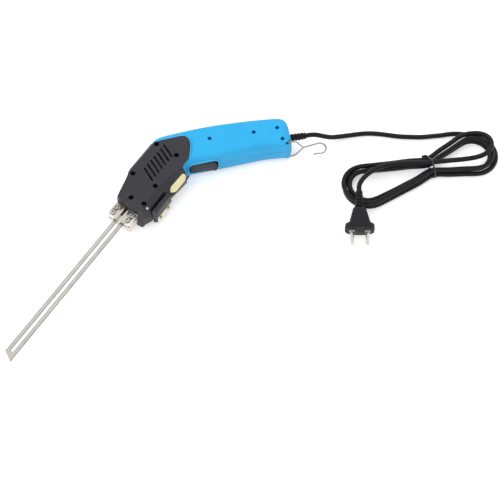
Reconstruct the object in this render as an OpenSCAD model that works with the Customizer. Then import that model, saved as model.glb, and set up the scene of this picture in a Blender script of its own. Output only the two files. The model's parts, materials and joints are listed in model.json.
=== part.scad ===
// Electric hot knife: a bent pistol housing with a transformer head, two blade terminals and a mains lead.
// It lies on its right side: +Z up, blade along -X, trigger towards -Y, origin on the head's rest face.

/* [Blade] */
// Length of the blade from its terminals to the tip of the longer leg
blade_len = 218; // [150:1:260]
// Width of the blade over both legs
blade_w = 14; // [12:0.5:16]
// Thickness of the blade
blade_thk = 1.2; // [0.8:0.1:2]
// Width of the slot between the two legs
blade_slot_w = 3.4; // [2.5:0.1:5]
// How far the far corner of the tip stands back from the near corner
tip_rake = 8; // [3:0.5:12]
// Length of the unslotted tip
tip_len = 12; // [9:0.5:18]
// Width of the ground bevel along the blade's edges
blade_bevel = 1.2; // [0.6:0.1:1.6]
// Width of each narrow tang inside its terminal
tang_w = 2.6; // [2:0.1:3]

/* [Terminals] */
// Length of a terminal along the blade
terminal_len = 19; // [16:0.5:24]
// Width of a terminal across the blade
terminal_w = 14; // [12:0.5:16]
// Height of the terminal's clamp jaw over the blade
jaw_h = 7; // [5:0.5:9]
// Height of the terminal's base under the blade
base_h = 8.5; // [6:0.5:11]
// Thickness of the terminal's rear and inner walls
terminal_wall = 2.2; // [1.5:0.1:3]
// Gap between the two terminals
terminal_gap = 4; // [3:0.5:6]
// Thread diameter of the clamp screws
clamp_screw_d = 4; // [3:0.5:5]

/* [Head] */
// Distance from the origin to the front face of the head
nose_len = 24; // [20:0.5:30]
// Thickness of the head
head_thk = 42; // [38:0.5:50]
// Distance from the blade axis to the far wall of the head
head_far = 28.5; // [26:0.5:34]
// Distance from the blade axis to the near wall of the head
head_near = 34; // [32:0.5:38]
// Distance from the origin to the joint between head covers and handle
joint_x = 60; // [58:0.5:64]
// Wall of the head covers
cover_wall = 2.5; // [1.5:0.1:3]
// Thickness of the tongue that laps over the handle
tongue_thk = 2; // [1.5:0.1:3]
// Reach of the tongue behind the joint
tongue_len = 36; // [30:0.5:40]

/* [Vents] */
// Number of vent slots in each cover
vent_count = 7; // [3:1:7]
// Length of a vent slot
vent_len = 22; // [12:0.5:24]
// Width of a vent slot
vent_w = 2.3; // [1.5:0.1:3]
// Distance between vent slots along the head
vent_pitch = 6.9; // [5:0.1:7]

/* [Handle] */
// Angle between the blade axis and the handle
bend = 47; // [40:0.5:52]
// Distance from the origin to the start of the handle's axis
bend_x = 79; // [76:0.5:84]
// Length of the handle along its axis
handle_len = 145; // [136:1:170]
// Thickness of the handle
handle_thk = 38; // [34:0.5:40]
// Half width of the grip on its far side
grip_far = 24.5; // [22:0.5:28]
// Half width of the grip on its trigger side
grip_near = 26.5; // [25:0.5:29]
// Radius of the handle's long edges
handle_edge = 8; // [5:0.5:11]
// Wall of the handle shells
shell_wall = 2.5; // [1.8:0.1:3]

/* [Screws] */
// Thread diameter of the housing screws
screw_d = 3; // [2.5:0.1:3.6]
// Diameter of the housing screws' heads
screw_head_d = 4.8; // [4:0.1:5]
// Height of the housing screws' heads
screw_head_h = 2.2; // [1.5:0.1:3]
// Diameter of the screw wells in the head cover
head_well_d = 6.5; // [5.5:0.1:7]
// Diameter of the screw wells in the handle
handle_well_d = 5.3; // [5.2:0.1:6.5]
// Outer diameter of the screw posts
post_d = 7.2; // [6:0.1:7.4]

/* [Trigger] */
// Length of the trigger along the handle
trigger_len = 35; // [30:0.5:36]
// Width of the trigger
trigger_w = 17.4; // [12:0.2:20]
// How far the trigger stands out of the grip
trigger_out = 1; // [0.5:0.1:3]
// Diameter of the trigger's pivot pin
trigger_pin_d = 3; // [2:0.1:4]

/* [Guide mount] */
// Length of the guide block on the near side
guide_len = 33; // [28:0.5:34]
// Width of the guide block across the thickness of the head
guide_w = 26; // [20:0.5:30]
// How far the guide block stands out of the near wall
guide_out = 4; // [3:0.5:8]
// Distance between the two threaded holes
guide_pitch = 16; // [12:0.5:20]
// Diameter of the threaded holes
guide_hole_d = 3.3; // [2.5:0.1:4]

/* [Transformer] */
// Length of the lamination stack
core_len = 26; // [20:0.5:28]
// Width of the core over its outer legs
core_w = 36; // [33:0.5:37]
// Width of the core's centre leg
core_leg_w = 11; // [9:0.5:12]
// Width of the core's outer legs
core_side_w = 5; // [4:0.25:6]
// Height of the core's windows
core_window_h = 20; // [18:0.5:24]
// Width of the secondary bar
bar_w = 4.8; // [4:0.1:4.8]
// Thickness of the secondary bar
bar_thk = 3.4; // [2.5:0.1:4]

/* [Hook] */
// Diameter of the hanging hook's wire
wire_d = 2; // [1.6:0.1:2.4]
// Distance between the two legs of the hook
hook_span = 31; // [24:0.5:31]
// Reach of the hook behind its pivot
hook_reach = 49; // [42:0.5:56]

/* [Mains lead] */
// Diameter of the lead
cord_d = 6.2; // [5.6:0.1:6.4]
// Length of the strain relief outside the handle
relief_len = 20; // [20:0.5:30]
// Diameter of the strain relief at the handle
relief_d = 9.8; // [8.5:0.1:12]
// Number of ribs on the strain relief
relief_ribs = 5; // [3:1:8]

/* [Plug] */
// Diameter of the plug's flange
plug_d = 37; // [35:0.5:40]
// Height of the plug's flange across its flats
plug_h = 26; // [22:0.5:28]
// Diameter of the pins
pin_d = 4.8; // [4:0.1:4.8]
// Length of the pins
pin_len = 19; // [17:0.5:20]
// Distance between the pins
pin_pitch = 19; // [17:0.5:20]

/* [Hidden] */

// Facets of true round pieces and of the lofted corners
$fn = 48;
cover_sides = 20;
vent_sides = 12;
corner_steps = 4;
// The longest corner cut, as a share of its edge
corner_share = 0.48;
// Overrun of cuts, running clearance, seat clearance and general clearance
overrun = 1;
running = 0.05;
seat = 0.2;
clear = 0.3;
// Plain plate under the roof of each handle shell, and how far it reaches into the shell's walls
roof_skin = 0.6;
shell_root = 3;

mid_z = head_thk / 2;
head_half = head_thk / 2;
handle_half = handle_thk / 2;
front_x = -nose_len;

function unit(v) = v / norm(v);
function turn(v, a) = [v.x * cos(a) - v.y * sin(a), v.x * sin(a) + v.y * cos(a)];
function at_handle(along, across) = [bend_x, 0] + turn([along, across], -bend);
function sum(v, i = 0) = i < len(v) ? v[i] + sum(v, i + 1) : 0;

module in_handle() {
    translate([bend_x, 0, mid_z]) rotate([0, 0, -bend]) children();
}

// Rounded outlines: every corner of a polygon becomes a short curve of the same number of points
function cut_to(v, p, r) = v + unit(p - v) * min(r, norm(p - v) * corner_share);
function corner(p, v, q, r) = let (a = cut_to(v, p, r), b = cut_to(v, q, r))
    [for (i = [0:corner_steps]) let (t = i / corner_steps) a * pow(1 - t, 2) + v * 2 * t * (1 - t)
        + b * t * t];
function rounded(pts, radii) = let (n = len(pts))
    [for (i = [0:n - 1]) each corner(pts[(i + n - 1) % n], pts[i], pts[(i + 1) % n], radii[i])];

// Mitred inset of a counter-clockwise polygon, with its own distance for the closing edge
function left_of(v) = [-v.y, v.x];
function inset_corner(p, v, q, d, e) = let (a = left_of(unit(v - p)), b = left_of(unit(q - v)),
    area = cross(a, b))
    v + [d * b.y - e * a.y, e * a.x - d * b.x] / area;
function inset(pts, d, closing) = let (n = len(pts))
    [for (i = [0:n - 1]) inset_corner(pts[(i + n - 1) % n], pts[i], pts[(i + 1) % n],
        i == 0 ? closing : d, i == n - 1 ? closing : d)];
function ring(pts, z) = [for (p = pts) [p.x, p.y, z]];

// A moulded half shell: outer and inner stacks of outlines, open at the parting plane
module half_shell(outer, inner) {
    m = len(outer[0]);
    n = len(outer);
    side = [for (k = [0:n - 2], i = [0:m - 1]) let (a = k * m + i, b = k * m + (i + 1) % m)
        each [[a, a + m, b + m], [a, b + m, b]]];
    back = [for (f = side) [f[2] + n * m, f[1] + n * m, f[0] + n * m]];
    lip = [for (i = [0:m - 1]) [i, (i + 1) % m, n * m + (i + 1) % m, n * m + i]];
    top = [for (i = [m - 1:-1:0]) (n - 1) * m + i];
    roof = [for (i = [0:m - 1]) n * m + (n - 1) * m + i];
    polyhedron(concat([for (r = outer) each r], [for (r = inner) each r]), concat(side, back, lip, [top,
        roof]));
}

// A tube swept along points, with its rings square to the path
function tangents(p) = let (n = len(p))
    [for (i = [0:n - 1]) unit(p[min(i + 1, n - 1)] - p[max(i - 1, 0)])];
function sweep_rings(p, r, sides, first) = let (t = tangents(p))
    [for (i = 0, u = unit(cross(cross(t[0], first), t[0])); i < len(p);
        i = i + 1, u = i < len(p) ? unit(cross(cross(t[i], u), t[i])) : u)
        [for (k = [0:sides - 1]) let (a = 360 * (k + 0.5) / sides)
            p[i] + r * (u * cos(a) + cross(t[i], u) * sin(a))]];
module tube(p, d, sides, first = [0, 0, 1]) {
    rings = sweep_rings(p, d / 2, sides, first);
    n = len(rings);
    side = [for (k = [0:n - 2], i = [0:sides - 1]) let (a = k * sides + i, b = k * sides + (i + 1) % sides)
        each [[a, a + sides, b + sides], [a, b + sides, b]]];
    start = [for (i = [1:sides - 2]) [0, i, i + 1]];
    end = [for (i = [1:sides - 2]) [(n - 1) * sides, (n - 1) * sides + i + 1, (n - 1) * sides + i]];
    polyhedron([for (r = rings) each r], concat(side, start, end));
}

module slot_outline(len, w) {
    square([len - w, w], center = true);
    for (s = [-1, 1]) translate([s * (len - w) / 2, 0]) circle(d = w);
}

// Blade
leg_w = (blade_w - blade_slot_w) / 2;
leg_y = (blade_w + blade_slot_w) / 4;
terminal_x = front_x - seat - terminal_len;
blade_tip_x = terminal_x - blade_len;
blade_edge_thk = blade_thk / 3;
tang_len = terminal_len - terminal_wall - clear;
tang_y = terminal_gap / 2 + terminal_wall + clear + tang_w / 2;

module ground_strip(x0, x1, y, w) {
    translate([x0, y, 0]) rotate([90, 0, 90]) linear_extrude(x1 - x0) polygon([
        [-w / 2, -blade_edge_thk / 2], [-w / 2 + blade_bevel, -blade_thk / 2],
        [w / 2 - blade_bevel, -blade_thk / 2], [w / 2, -blade_edge_thk / 2],
        [w / 2, blade_edge_thk / 2], [w / 2 - blade_bevel, blade_thk / 2],
        [-w / 2 + blade_bevel, blade_thk / 2], [-w / 2, blade_edge_thk / 2]]);
}

module blade() {
    color("lightgray") translate([0, 0, mid_z]) {
        difference() {
            union() {
                for (s = [-1, 1]) ground_strip(blade_tip_x + tip_len, terminal_x - seat, s * leg_y, leg_w);
                ground_strip(blade_tip_x, blade_tip_x + tip_len, 0, blade_w);
            }
            translate([blade_tip_x, -blade_w / 2, -blade_thk]) linear_extrude(2 * blade_thk)
                polygon([[-overrun, 0], [0, 0], [tip_rake, blade_w], [tip_rake, blade_w + overrun],
                    [-overrun, blade_w + overrun]]);
        }
        for (s = [-1, 1]) translate([terminal_x - seat - overrun, s * tang_y - tang_w / 2, -blade_thk / 2])
            cube([tang_len + seat + overrun, tang_w, blade_thk]);
    }
}

// Terminals: an open base with a rear and an inner wall, and a jaw that two screws draw down on the tang
heel_share = 0.2;
jaw_len = terminal_len - terminal_wall - clear;
jaw_w = terminal_w - terminal_wall - clear;
jaw_y = terminal_gap / 2 + terminal_wall + clear;
jaw_screw_shares = [[0.28, 0.52], [0.72, 0.62]];
jaw_chamfer = jaw_w / 5;
clamp_head_d = clamp_screw_d * 1.5;
clamp_head_h = clamp_screw_d * 0.55;
clamp_reach = blade_thk / 2 + base_h * 0.8;
function jaw_screw_at(i) = [terminal_x + jaw_len * jaw_screw_shares[i].x,
    jaw_y + jaw_w * jaw_screw_shares[i].y];

module terminal(s) {
    color("gainsboro") translate([0, 0, mid_z]) mirror([0, s > 0 ? 0 : 1, 0]) difference() {
        translate([terminal_x, terminal_gap / 2, -blade_thk / 2 - base_h]) union() {
            cube([terminal_len, terminal_w, base_h]);
            cube([terminal_len, terminal_wall, base_h + blade_thk + jaw_h]);
            translate([terminal_len - terminal_wall, 0, 0]) cube([terminal_wall, terminal_w,
                base_h + blade_thk + jaw_h]);
            translate([0, terminal_w * (1 - heel_share), 0]) cube([terminal_len, terminal_w * heel_share,
                base_h + blade_thk]);
        }
        for (i = [0, 1]) translate(concat(jaw_screw_at(i), [-clamp_reach - overrun]))
            cylinder(d = clamp_screw_d + 2 * running, h = base_h + blade_thk + overrun);
    }
}

module jaw(s) {
    color("silver") translate([0, 0, mid_z + blade_thk / 2]) mirror([0, s > 0 ? 0 : 1, 0]) difference() {
        translate([terminal_x, jaw_y, 0]) linear_extrude(jaw_h) polygon([[0, 0], [jaw_len, 0], [jaw_len,
            jaw_w],
            [jaw_chamfer, jaw_w], [0, jaw_w - jaw_chamfer]]);
        for (i = [0, 1]) translate(concat(jaw_screw_at(i), [-overrun]))
            cylinder(d = clamp_screw_d + 2 * running, h = jaw_h + 2 * overrun);
    }
}

module screw(d, head_d, head_h, reach) {
    difference() {
        union() {
            cylinder(d = head_d, h = head_h);
            translate([0, 0, -reach]) cylinder(d = d, h = reach + head_h / 2);
        }
        translate([0, 0, head_h * 0.45]) cylinder(d = head_d * 0.55, h = head_h, $fn = 6);
    }
}

module jaw_screws() {
    color("silver") for (s = [0, 1], i = [0, 1]) mirror([0, s, 0])
        translate(concat(jaw_screw_at(i), [mid_z + blade_thk / 2 + jaw_h]))
            screw(clamp_screw_d, clamp_head_d, clamp_head_h, jaw_h + clamp_reach);
}

// Transformer: core round a centre leg, with a bobbin, two primary coils and a one-turn secondary bar
core_x = 24;
core_y = 1;
core_half = head_half - cover_wall - seat;
window_w = (core_w - core_leg_w) / 2 - core_side_w;
bobbin_wall = 0.8;
bobbin_gap = 0.25;
coil_out = window_w - 2 * bobbin_gap;
coil_front = core_x - coil_out;
bar_y = core_leg_w / 2 + window_w / 2;
bar_back = core_x + core_len + coil_out;
deck_z = bar_thk / 2 + bobbin_gap;

module window_pair(h, grow) {
    for (s = [-1, 1]) translate([core_x - overrun, core_y + s * (core_leg_w + window_w)
        / 2 - window_w / 2 - grow, -h / 2 - grow])
        cube([core_len + 2 * overrun, window_w + 2 * grow, h + 2 * grow]);
}

module transformer_core() {
    color("dimgray") translate([0, 0, mid_z]) difference() {
        translate([core_x, core_y - core_w / 2, -core_half]) cube([core_len, core_w, 2 * core_half]);
        window_pair(core_window_h, 0);
    }
}

module coil_outline(grow) {
    translate([core_x - grow, core_y - core_leg_w / 2 - grow]) square([core_len + 2 * grow,
        core_leg_w + 2 * grow]);
}

module bobbin() {
    flange_z = core_window_h / 2 - bobbin_gap - bobbin_wall;
    color("ivory") translate([0, 0, mid_z]) difference() {
        union() {
            translate([0, 0, -flange_z]) linear_extrude(2 * flange_z)
                coil_outline(bobbin_gap + bobbin_wall);
            for (z = [-flange_z - bobbin_wall, -deck_z - bobbin_wall, deck_z, flange_z])
                translate([0, 0, z]) linear_extrude(bobbin_wall) coil_outline(bobbin_gap + coil_out);
        }
        translate([0, 0, -head_half]) linear_extrude(head_thk) coil_outline(bobbin_gap);
    }
}

module primary_winding() {
    coil_h = core_window_h / 2 - 2 * bobbin_gap - 2 * bobbin_wall - deck_z - bobbin_gap;
    color("peru") for (s = [0, 1]) translate([0, 0, mid_z]) mirror([0, 0, s])
        translate([0, 0, deck_z + bobbin_wall + bobbin_gap]) linear_extrude(coil_h) difference() {
            coil_outline(coil_out);
            coil_outline(bobbin_wall + 2 * bobbin_gap);
        }
}

module secondary_bar() {
    reach = bar_back - front_x;
    color("chocolate") translate([front_x, core_y, mid_z - bar_thk / 2]) union() {
        for (s = [-1, 1]) translate([0, s * bar_y - bar_w / 2, 0]) cube([reach, bar_w, bar_thk]);
        translate([reach - bar_w, -bar_y, 0]) cube([bar_w, 2 * bar_y, bar_thk]);
    }
}

fuse_d = 3.2;
fuse_len = 13;
fuse_z = deck_z + bobbin_wall + fuse_d;

module thermal_fuse() {
    color("white") translate([coil_front - bobbin_gap - fuse_d / 2, core_y - fuse_len / 2, mid_z + fuse_z])
        rotate([-90, 0, 0]) cylinder(d = fuse_d, h = fuse_len);
}

// Front insulator: a plate held in the head's front wall, with a hole for each leg of the secondary bar
insulator_lip = 2;
insulator_rim = 1;
insulator_thk = cover_wall + insulator_lip;
insulator_w = 2 * bar_y + bar_w + 2 * insulator_rim;
insulator_h = 4 * bar_thk;

module front_insulator() {
    color("tan") translate([front_x, core_y, mid_z]) difference() {
        union() {
            translate([0, -insulator_w / 2, -insulator_h / 2]) cube([cover_wall + seat, insulator_w,
                insulator_h]);
            translate([cover_wall + seat, insulator_lip - insulator_w / 2,
                -insulator_h / 2 - insulator_lip])
                cube([insulator_thk - cover_wall - seat, insulator_w - 2 * insulator_lip,
                    insulator_h + 2 * insulator_lip]);
        }
        for (s = [-1, 1]) translate([-overrun, s * bar_y - bar_w / 2 - clear, -bar_thk / 2 - clear])
            cube([insulator_thk + 2 * overrun, bar_w + 2 * clear, bar_thk + 2 * clear]);
    }
}

// Head covers: lofted from the parting plane over a shoulder to a flat side,
// in shares of the joint and wall distances
shoulder_share = 0.71;
mid_shares = [[-1, -0.647], [-0.54, -0.882], [0.35, -0.882], [0.43, -1], [1.25, -1],
    [1.25, 1], [0.28, 1], [0.17, 0.842], [-1, 0.579]];
shoulder_shares = [[-1, -0.632], [-0.54, -0.8], [0.33, -0.765], [0.43, -0.824], [1.25, -0.912],
    [1.25, 0.965], [0.28, 0.965], [0.17, 0.825], [-1, 0.561]];
top_shares = [[-1, -0.6], [-0.5, -0.62], [0.1, -0.545], [0.42, -0.595], [1.25, -0.875],
    [1.25, 0.79], [0.233, 0.832], [0.133, 0.754], [-1, 0.491]];
head_corners = [3, 4, 4, 4, 1, 1, 5, 5, 4];

function head_point(s) = [s.x * (s.x < 0 ? nose_len : joint_x), s.y * (s.y < 0 ? head_near : head_far)];
function head_outline(shares, wall) = let (pts = [for (s = shares) head_point(s)])
    rounded(inset(pts, wall, wall), head_corners);
function head_rings(wall) = [ring(head_outline(mid_shares, wall), 0),
    ring(head_outline(shoulder_shares, wall), shoulder_share * head_half - wall / 2),
    ring(head_outline(top_shares, wall), head_half - wall)];

// The joint between covers and handle leans a little, as seen from the side
joint_lean = 9;
module behind_joint(gap) {
    translate([joint_x, 0, 0]) rotate([0, 0, -joint_lean]) translate([gap, -3 * head_near, -head_thk])
        cube([3 * handle_len, 6 * head_near, 2 * head_thk]);
}

tongue_shares = [[-0.15, 0.8], [0.2, 0.8], [1, -0.09], [0.9, -0.4], [0.33, -0.77], [-0.15, -0.775]];
tongue_corners = [1, 9, 7, 7, 8, 1];
module tongue(grow) {
    pts = [for (s = tongue_shares) [joint_x + s.x * tongue_len, s.y * (s.y < 0 ? head_near : head_far)]];
    polygon(rounded(inset(pts, -grow, -grow), tongue_corners));
}

// Screw places: four pairs of posts hold the covers together and two screws hold the tongue to the handle.
// A cover is joined as one mesh, with resize(), because its posts and wells cross
// its lofted facets at odd angles
cover_screw_shares = [[0.235, 0.62], [0.235, -0.465], [-0.645, -0.03], [-0.585, -0.56]];
tongue_screw_shares = [[0.15, 0.65], [0.15, -0.34]];
function cover_screws() = [for (s = cover_screw_shares) head_point(s)];
function tongue_screws() = [for (s = tongue_screw_shares)
    [joint_x + s.x * tongue_len, s.y * (s.y < 0 ? head_near : head_far)]];
well_depth = 5;
well_floor = 1.5;
well_wall = 1.5;
screw_bite = head_half * 0.55;
seat_z = head_half - well_depth;
post_h = head_half - cover_wall + seat;

module vents(low, high, grow) {
    vent_row = (vent_count - 1) * vent_pitch;
    vent_shift = 7;
    vent_mid = core_x + core_len / 2 + vent_shift;
    vent_y = 1;
    vent_lean = 64;
    for (i = [0:vent_count - 1]) translate([vent_mid - vent_row / 2 + i * vent_pitch, vent_y, low])
        rotate([0, 0, vent_lean]) linear_extrude(high - low) slot_outline(vent_len + grow, vent_w + grow,
            $fn = vent_sides);
}

// Behind the joint the tongue lies on the handle, so the vents end there in a thin floor
vent_floor = 0.8;
module vent_cuts() {
    vents(head_half - cover_wall - overrun, head_half + overrun, 0);
}
module vent_floors() {
    intersection() {
        behind_joint(0);
        vents(head_half - tongue_thk, head_half - tongue_thk + vent_floor, clear);
    }
}

module cover_blank() {
    difference() {
        half_shell(head_rings(0), head_rings(cover_wall));
        behind_joint(0);
        translate([front_x - overrun, core_y - insulator_w / 2 - seat, -insulator_h / 2 - seat])
            cube([cover_wall + 2 * overrun, insulator_w + 2 * seat, insulator_h + 2 * seat]);
    }
    translate([0, 0, head_half - tongue_thk]) linear_extrude(tongue_thk) tongue(0);
}

module head_cover_left() {
    $fn = cover_sides;
    color([0.2, 0.2, 0.21]) translate([0, 0, mid_z]) resize([0, 0, 0]) {
        difference() {
            union() {
                cover_blank();
                for (p = cover_screws()) translate(p) {
                    cylinder(d = post_d, h = post_h);
                    translate([0, 0, seat_z - well_floor])
                        cylinder(d = head_well_d + 2 * well_wall,
                            h = well_depth + well_floor - cover_wall / 2);
                }
                for (p = tongue_screws()) translate([p.x, p.y, seat_z - well_floor])
                    cylinder(d = head_well_d + 2 * well_wall, h = well_depth + well_floor - tongue_thk / 2);
            }
            for (p = concat(cover_screws(), tongue_screws())) translate(p) {
                translate([0, 0, -overrun]) cylinder(d = screw_d + 2 * running, h = head_thk);
                translate([0, 0, seat_z]) cylinder(d = head_well_d, h = head_thk);
            }
            vent_cuts();
        }
        vent_floors();
    }
}

module head_cover_right() {
    $fn = cover_sides;
    color([0.2, 0.2, 0.21]) translate([0, 0, mid_z]) mirror([0, 0, 1]) resize([0, 0, 0]) {
        difference() {
            union() {
                cover_blank();
                for (p = cover_screws()) translate(p) cylinder(d = post_d, h = post_h);
            }
            for (p = cover_screws()) translate([p.x, p.y, -overrun])
                cylinder(d = screw_d + 2 * running, h = screw_bite + 2 * overrun);
            vent_cuts();
        }
        vent_floors();
    }
}

module head_screws() {
    color("black") for (p = concat(cover_screws(), tongue_screws())) translate([p.x, p.y, mid_z + seat_z])
        screw(screw_d, screw_head_d, screw_head_h, seat_z + screw_bite);
}

// Guide block on the near wall, with a plate and two threaded inserts for a cutting guide
guide_x = -13.6;
guide_y = -0.882 * head_near;
plate_thk = 1.5;
insert_wall = 1.5;
insert_d = guide_hole_d + 2 * insert_wall;
insert_len = guide_out * 0.8;
guide_chamfer = guide_out * 0.5;
guide_ledge = 2;
guide_drop = 7;
guide_z = mid_z - guide_drop;
plate_w = insert_d + 2 * guide_chamfer;
guide_mid = guide_x + guide_len / 2;
guide_face = guide_y - clear - guide_out;

module guide_slab(out, low, high) {
    translate([guide_x, guide_y - clear, low]) linear_extrude(high - low) polygon([[0, 0], [guide_chamfer,
        -out],
        [guide_len - guide_chamfer, -out], [guide_len, 0]]);
}

module guide_block() {
    color([0.16, 0.16, 0.17]) difference() {
        union() {
            guide_slab(guide_out, mid_z - guide_w / 2, mid_z + guide_w / 2);
            guide_slab(guide_out + guide_ledge, guide_z + plate_w / 2 + clear, mid_z + guide_w / 2);
        }
        for (s = [-1, 1]) translate([guide_mid + s * guide_pitch / 2, guide_face - overrun, guide_z])
            rotate([-90, 0, 0]) cylinder(d = insert_d + 2 * running, h = insert_len + overrun);
    }
}

module guide_plate() {
    color("silver") translate([0, guide_face, guide_z]) rotate([90, 0, 0]) linear_extrude(plate_thk)
        difference() {
        translate([guide_mid, 0]) square([guide_len - 3 * guide_chamfer, plate_w], center = true);
        for (s = [-1, 1]) translate([guide_mid + s * guide_pitch / 2, 0])
            circle(d = insert_d + 2 * running);
    }
}

module guide_inserts() {
    color("goldenrod") for (s = [-1, 1])
        translate([guide_mid + s * guide_pitch / 2, guide_face - plate_thk, guide_z]) rotate([-90, 0, 0])
            difference() {
            cylinder(d = insert_d, h = insert_len + plate_thk - running);
            translate([0, 0, -overrun]) cylinder(d = guide_hole_d,
                h = insert_len + plate_thk + 2 * overrun);
        }
}

// Handle shells: one bent outline from the joint to the heel, with rounded long edges
far_turn = 17;
crook_back = 5;
crook_share = 0.76;
joint_near_share = 0.98;
handle_near_shares = [[0.34, 0.965], [0.48, 0.92], [0.77, 0.775], [1, 0.89]];
handle_far_shares = [[1, 0.84], [0.68, 0.985], [0.255, 1]];
handle_corners = [0.5, 8, 30, 30, 40, 8, 13.5, 40, 40, 14, 0.5];
shell_draft = 0.5;
edge_steps = 4;

function at_joint(y) = [joint_x + (seat + y * sin(joint_lean)) / cos(joint_lean), y];
function handle_corner_points() = concat(
    [at_joint(-joint_near_share * head_near), [joint_x + crook_back, -crook_share * head_near]],
    [for (s = handle_near_shares) at_handle(s.x * handle_len, -s.y * grip_near)],
    [for (s = handle_far_shares) at_handle(s.x * handle_len, s.y * grip_far)],
    [[joint_x + far_turn, head_far], at_joint(head_far)]);
function handle_outline(d, wall) = rounded(inset(handle_corner_points(), d, wall), handle_corners);
function handle_rings(wall) = let (edge = handle_edge - wall, top = handle_half - wall)
    concat([ring(handle_outline(wall, wall), 0)],
    [for (k = [0:edge_steps]) let (a = 90 * k / edge_steps)
        ring(handle_outline(wall + shell_draft + edge * (1 - cos(a)), wall), top - edge * (1 - sin(a)))]);

handle_screw_shares = [[0.3, 0.065], [0.686, 0.065]];
heel_screws = [[15.4, 0.14], [11.8, -0.53]];
function handle_screw_places() = [for (s = concat([for (s = handle_screw_shares) [s.x * handle_len, s.y]],
    [for (s = heel_screws) [handle_len - s.x, s.y]])) [s.x, s.y * (s.y < 0 ? grip_near : grip_far)]];
handle_seat_z = handle_half - well_depth;
handle_bite = handle_half * 0.55;

// Trigger, switch and their places along and across the handle
trigger_front = 13.5;
pivot_in = [2, 5];
pivot_at = [trigger_front, -grip_near] + pivot_in;
trigger_face = -grip_near - trigger_out;
trigger_back = trigger_front + trigger_len;
trigger_depth = 5.5;
opening_corner = 6;
sharp_corner = 0.2;
trigger_inner = trigger_face + trigger_depth;
trigger_gap = 0.9;
lip_out = 3;
tab_len = 3;
tab_thk = 2.5;
tab_in = 1.5;
tab_y = shell_wall + shell_draft + 2 * clear - handle_near_shares[0].y * grip_near;
tab_x = trigger_back - tab_len - trigger_gap - tab_in;
boss_wall = 1.5;
pin_boss_d = trigger_pin_d + 2 * boss_wall;
switch_front = 20;
switch_gap = 5;
switch_len = 22;
switch_h = 17;
switch_d = 14.5;
switch_near = trigger_inner + switch_gap;
plunger_at = 36;
plunger_d = 4.4;
plunger_travel = 3;
rib_thk = 1.8;

// Cable end, clamp and strain relief at the heel
cord_y = -2;
relief_flange_w = 1.5;
relief_flange_d = relief_d + 2 * relief_flange_w;
relief_flange_thk = 1.6;
heel_inner = handle_len - shell_wall;
cable_back = heel_inner - clear - relief_flange_thk;
cable_bare = 8.5;
cable_front = heel_inner - cable_bare;
clamp_len = 5;
clamp_w = 16;
clamp_thk = 3;
clamp_pitch = 11;
clamp_back = 5;
clamp_at = heel_inner - clamp_back;
clamp_z = cord_d / 2 + running;
clamp_post_d = 4.4;
clamp_screw_small_d = 2.4;

// Hook pivot and the slots that its legs swing in
hook_back = 6.5;
hook_side_share = 0.72;
hook_at = [handle_len - hook_back, -hook_side_share * grip_near];
hook_leg_z = hook_span / 2;
hook_stub = 5;
hook_post_d = 7.5;
slot_h = wire_d + 2 * clear;

module handle_blank() {
    half_shell(handle_rings(0), handle_rings(shell_wall));
    translate([0, 0, handle_half - shell_wall - roof_skin]) linear_extrude(roof_skin + seat)
        polygon(handle_outline(handle_edge + shell_draft - shell_root, shell_wall / 2));
}

// A window seen from the trigger's side, rounded at its upper corners and, where asked, at its lower ones
module side_window(x0, x1, z0, z1, round) {
    low = round[0] * opening_corner + (1 - round[0]) * sharp_corner;
    high = round[1] * opening_corner + (1 - round[1]) * sharp_corner;
    polygon(rounded([[x0, z0], [x1, z0], [x1, z1], [x0, z1]], [low, low, high, high]));
}

module shell_posts() {
    for (p = handle_screw_places()) translate(p) cylinder(d = post_d, h = handle_half - shell_wall / 2);
    translate(pivot_at) translate([0, 0, trigger_w / 2 + clear])
        cylinder(d = pin_boss_d, h = handle_half - trigger_w / 2 - clear - 2 * boss_wall);
    translate(hook_at) cylinder(d = hook_post_d, h = hook_leg_z - slot_h / 2);
    for (x = [switch_front + rib_thk, switch_front + switch_len - 2 * rib_thk])
        translate([x, switch_near + rib_thk, switch_h / 2 + seat])
            cube([rib_thk, switch_d - 2 * rib_thk, handle_half - shell_wall / 2 - switch_h / 2 - seat]);
}

module shell_cuts() {
    translate([0, 2 * shell_wall - grip_near, 0]) rotate([90, 0, 0]) linear_extrude(grip_near)
        side_window(trigger_front - trigger_gap, trigger_back + trigger_gap, -overrun,
            trigger_w / 2 + clear, [0, 1]);
    translate([handle_len - shell_wall - overrun, cord_y, 0]) rotate([0, 90, 0])
        cylinder(d = relief_d + 2 * running, h = shell_wall + 2 * overrun);
    translate([hook_at.x - wire_d - clear, -2 * grip_near, hook_leg_z - slot_h / 2])
        cube([handle_len, 2 * grip_near + hook_at.y + hook_post_d / 2 + clear, slot_h]);
    translate(hook_at) translate([0, 0, hook_leg_z - slot_h / 2 - hook_stub])
        cylinder(d = wire_d + 2 * running, h = hook_stub + overrun);
    translate(hook_at) translate([0, 0, hook_leg_z - slot_h / 2 - wire_d / 2])
        cylinder(d1 = wire_d, d2 = 2.5 * wire_d, h = wire_d);
    translate(pivot_at) translate([0, 0, -overrun])
        cylinder(d = trigger_pin_d + running, h = handle_half - shell_wall + overrun);
}

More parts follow.
